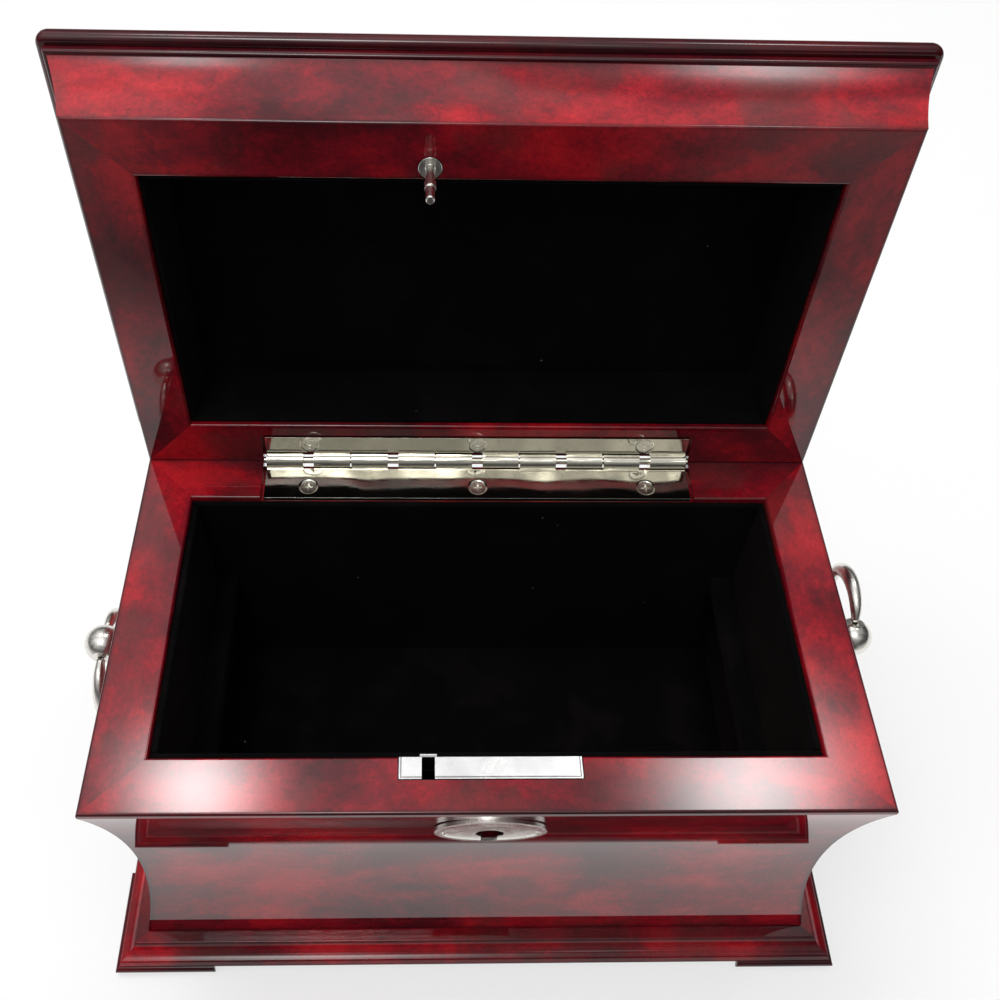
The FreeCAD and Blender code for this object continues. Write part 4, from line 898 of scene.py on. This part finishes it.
@dataclass
class Studio:
    """Floor, light and camera.

    Each window has the direction of its middle, its width in radians and its strength.
    """

    windows: tuple = (
        ((0.278, 0.384, 0.881), 0.066, 15.0),
        ((-0.20, 0.39, 0.90), 0.048, 17.0),
        ((-0.10, -0.34, 0.93), 0.120, 12.0),
        ((-0.08, -0.61, 0.785), 0.045, 3.5),
        ((0.14, -0.60, 0.78), 0.050, 3.0),
    )
    floor_reach: float = 3.0
    floor_front: float = -0.30
    floor_fade: float = -0.13
    focal: float = 1.0904
    sensor: float = 36.0
    lens_shift: float = 0.0402

    def floor(self) -> None:
        """A white floor that keeps the shadow."""
        graph = Graph("studio_floor")
        place = graph.place()
        grain = graph.noise(place, 40.0, 4.0)
        shade = graph.mix(grain * 0.5, (0.90, 0.90, 0.90), (0.93, 0.93, 0.93))
        matt = graph.node("ShaderNodeBsdfPrincipled",
                          named={"Base Color": shade, "Roughness": 0.7,
                                 "Specular IOR Level": 0.2})
        glow = graph.node("ShaderNodeEmission", (1.0, 1.0, 1.0, 1.0), 1.0)
        path = graph.tree.nodes.new("ShaderNodeLightPath")
        seen = (Wire(graph, path.outputs["Is Camera Ray"]) * 0.62).at_least(
            Wire(graph, path.outputs["Is Glossy Ray"]) * 0.80)
        mixed = graph.node("ShaderNodeMixShader", seen, matt, glow)
        clear = graph.node("ShaderNodeBsdfTransparent")
        there = graph.split(place)[1].step(self.floor_front, self.floor_fade)
        mixed = graph.node("ShaderNodeMixShader", there, clear, mixed)
        graph.node("ShaderNodeOutputMaterial", mixed)
        wide, front, back = self.floor_reach, self.floor_front, self.floor_reach
        points = np.array([[-wide, front, 0], [wide, front, 0], [wide, back, 0],
                           [-wide, back, 0]])
        made = mesh_of("floor", points, [[0, 1, 2, 3]], smooth=False)
        made.data.materials.append(graph.material)

    def window(self, graph: Graph, ahead: Wire, toward: tuple, width: float) -> Wire:
        """Light from a soft-edged window: it falls off with the angle from its middle.

        Args:
            graph: the surround's nodes.
            ahead: the direction that is looked in.
            toward: the direction of the window's middle.
            width: angle in radians over which it fades.

        Returns:
            1 in the middle of the window, falling to 0.
        """
        middle = Vector(toward).normalized()
        facing = graph.node("ShaderNodeVectorMath", ahead, tuple(middle), output="Value",
                            operation="DOT_PRODUCT")
        return ((facing - 1.0) * (2.0 / width ** 2)).exp()

    def surround(self) -> None:
        """A white background; as light, a pale ceiling over dim walls, with soft windows."""
        world = bpy.data.worlds.new("surround")
        bpy.context.scene.world = world
        graph = Graph("surround", world)
        ahead = graph.node("ShaderNodeTexCoord", output="Generated")
        x, _, z = graph.split(ahead)
        clutter = graph.noise(ahead, 3.4, 2.0).step(0.40, 0.60) * 0.7 + 0.5
        sky = (z.step(0.15, 0.95) * 0.66 + 0.10) * (1.0 - x * 0.7) * clutter
        below = abs(x).step(0.12, 0.38) * 0.42 + 0.04
        above = z.step(-0.06, 0.02)
        level = sky * above + below * (1.0 - above)
        for toward, width, power in self.windows:
            level = level + self.window(graph, ahead, toward, width) * power
        path = graph.tree.nodes.new("ShaderNodeLightPath")
        seen = Wire(graph, path.outputs["Is Camera Ray"]).at_least(
            Wire(graph, path.outputs["Is Transmission Ray"]))
        level = seen + (1.0 - seen) * level
        back = graph.node("ShaderNodeBackground", (1.0, 1.0, 1.0, 1.0), level)
        graph.node("ShaderNodeOutputWorld", back)

    def lamp(self, name: str, place: tuple, size: tuple, watts: float) -> None:
        """A rectangular soft lamp that points at the chest."""
        data = bpy.data.lights.new(name, "AREA")
        data.shape = "RECTANGLE"
        data.size, data.size_y = size
        data.energy = watts
        made = bpy.data.objects.new(name, data)
        bpy.context.scene.collection.objects.link(made)
        made.location = place
        aim = Vector((0, 0, 0.1)) - Vector(place)
        made.rotation_euler = aim.to_track_quat("-Z", "Y").to_euler()
        made.visible_glossy = False

    def camera(self) -> None:
        """The camera at the photograph's angle."""
        data = bpy.data.cameras.new("camera")
        data.sensor_width = self.sensor
        data.lens = self.focal * self.sensor
        data.shift_x = self.lens_shift
        made = bpy.data.objects.new("camera", data)
        bpy.context.scene.collection.objects.link(made)
        turn = Matrix(((0.99956, -0.01583, 0.02526), (-0.00316, 0.78625, 0.6179),
                       (-0.02964, -0.61771, 0.78585))).transposed()
        made.matrix_world = Matrix.Translation((-0.02209, -0.22295, 0.4947)) @ turn.to_4x4()
        bpy.context.scene.camera = made

    def build(self) -> None:
        """Builds the studio."""
        self.floor()
        self.surround()
        self.lamp("overhead", (-0.3, 0.45, 1.5), (0.9, 0.6), 12.0)
        self.camera()


def main() -> None:
    """Dresses the chest."""
    bpy.context.scene.view_settings.view_transform = "Standard"
    Woodwork().build()
    Interior().build()
    Hardware().build()
    DropHandle("left", -1, 0.0).build()
    DropHandle("right", 1, math.radians(64)).build()
    FeltDiscs().build()
    Studio().build()
    bpy.context.view_layer.update()


if __name__ == "__main__":
    logging.basicConfig(level=logging.INFO)
    main()
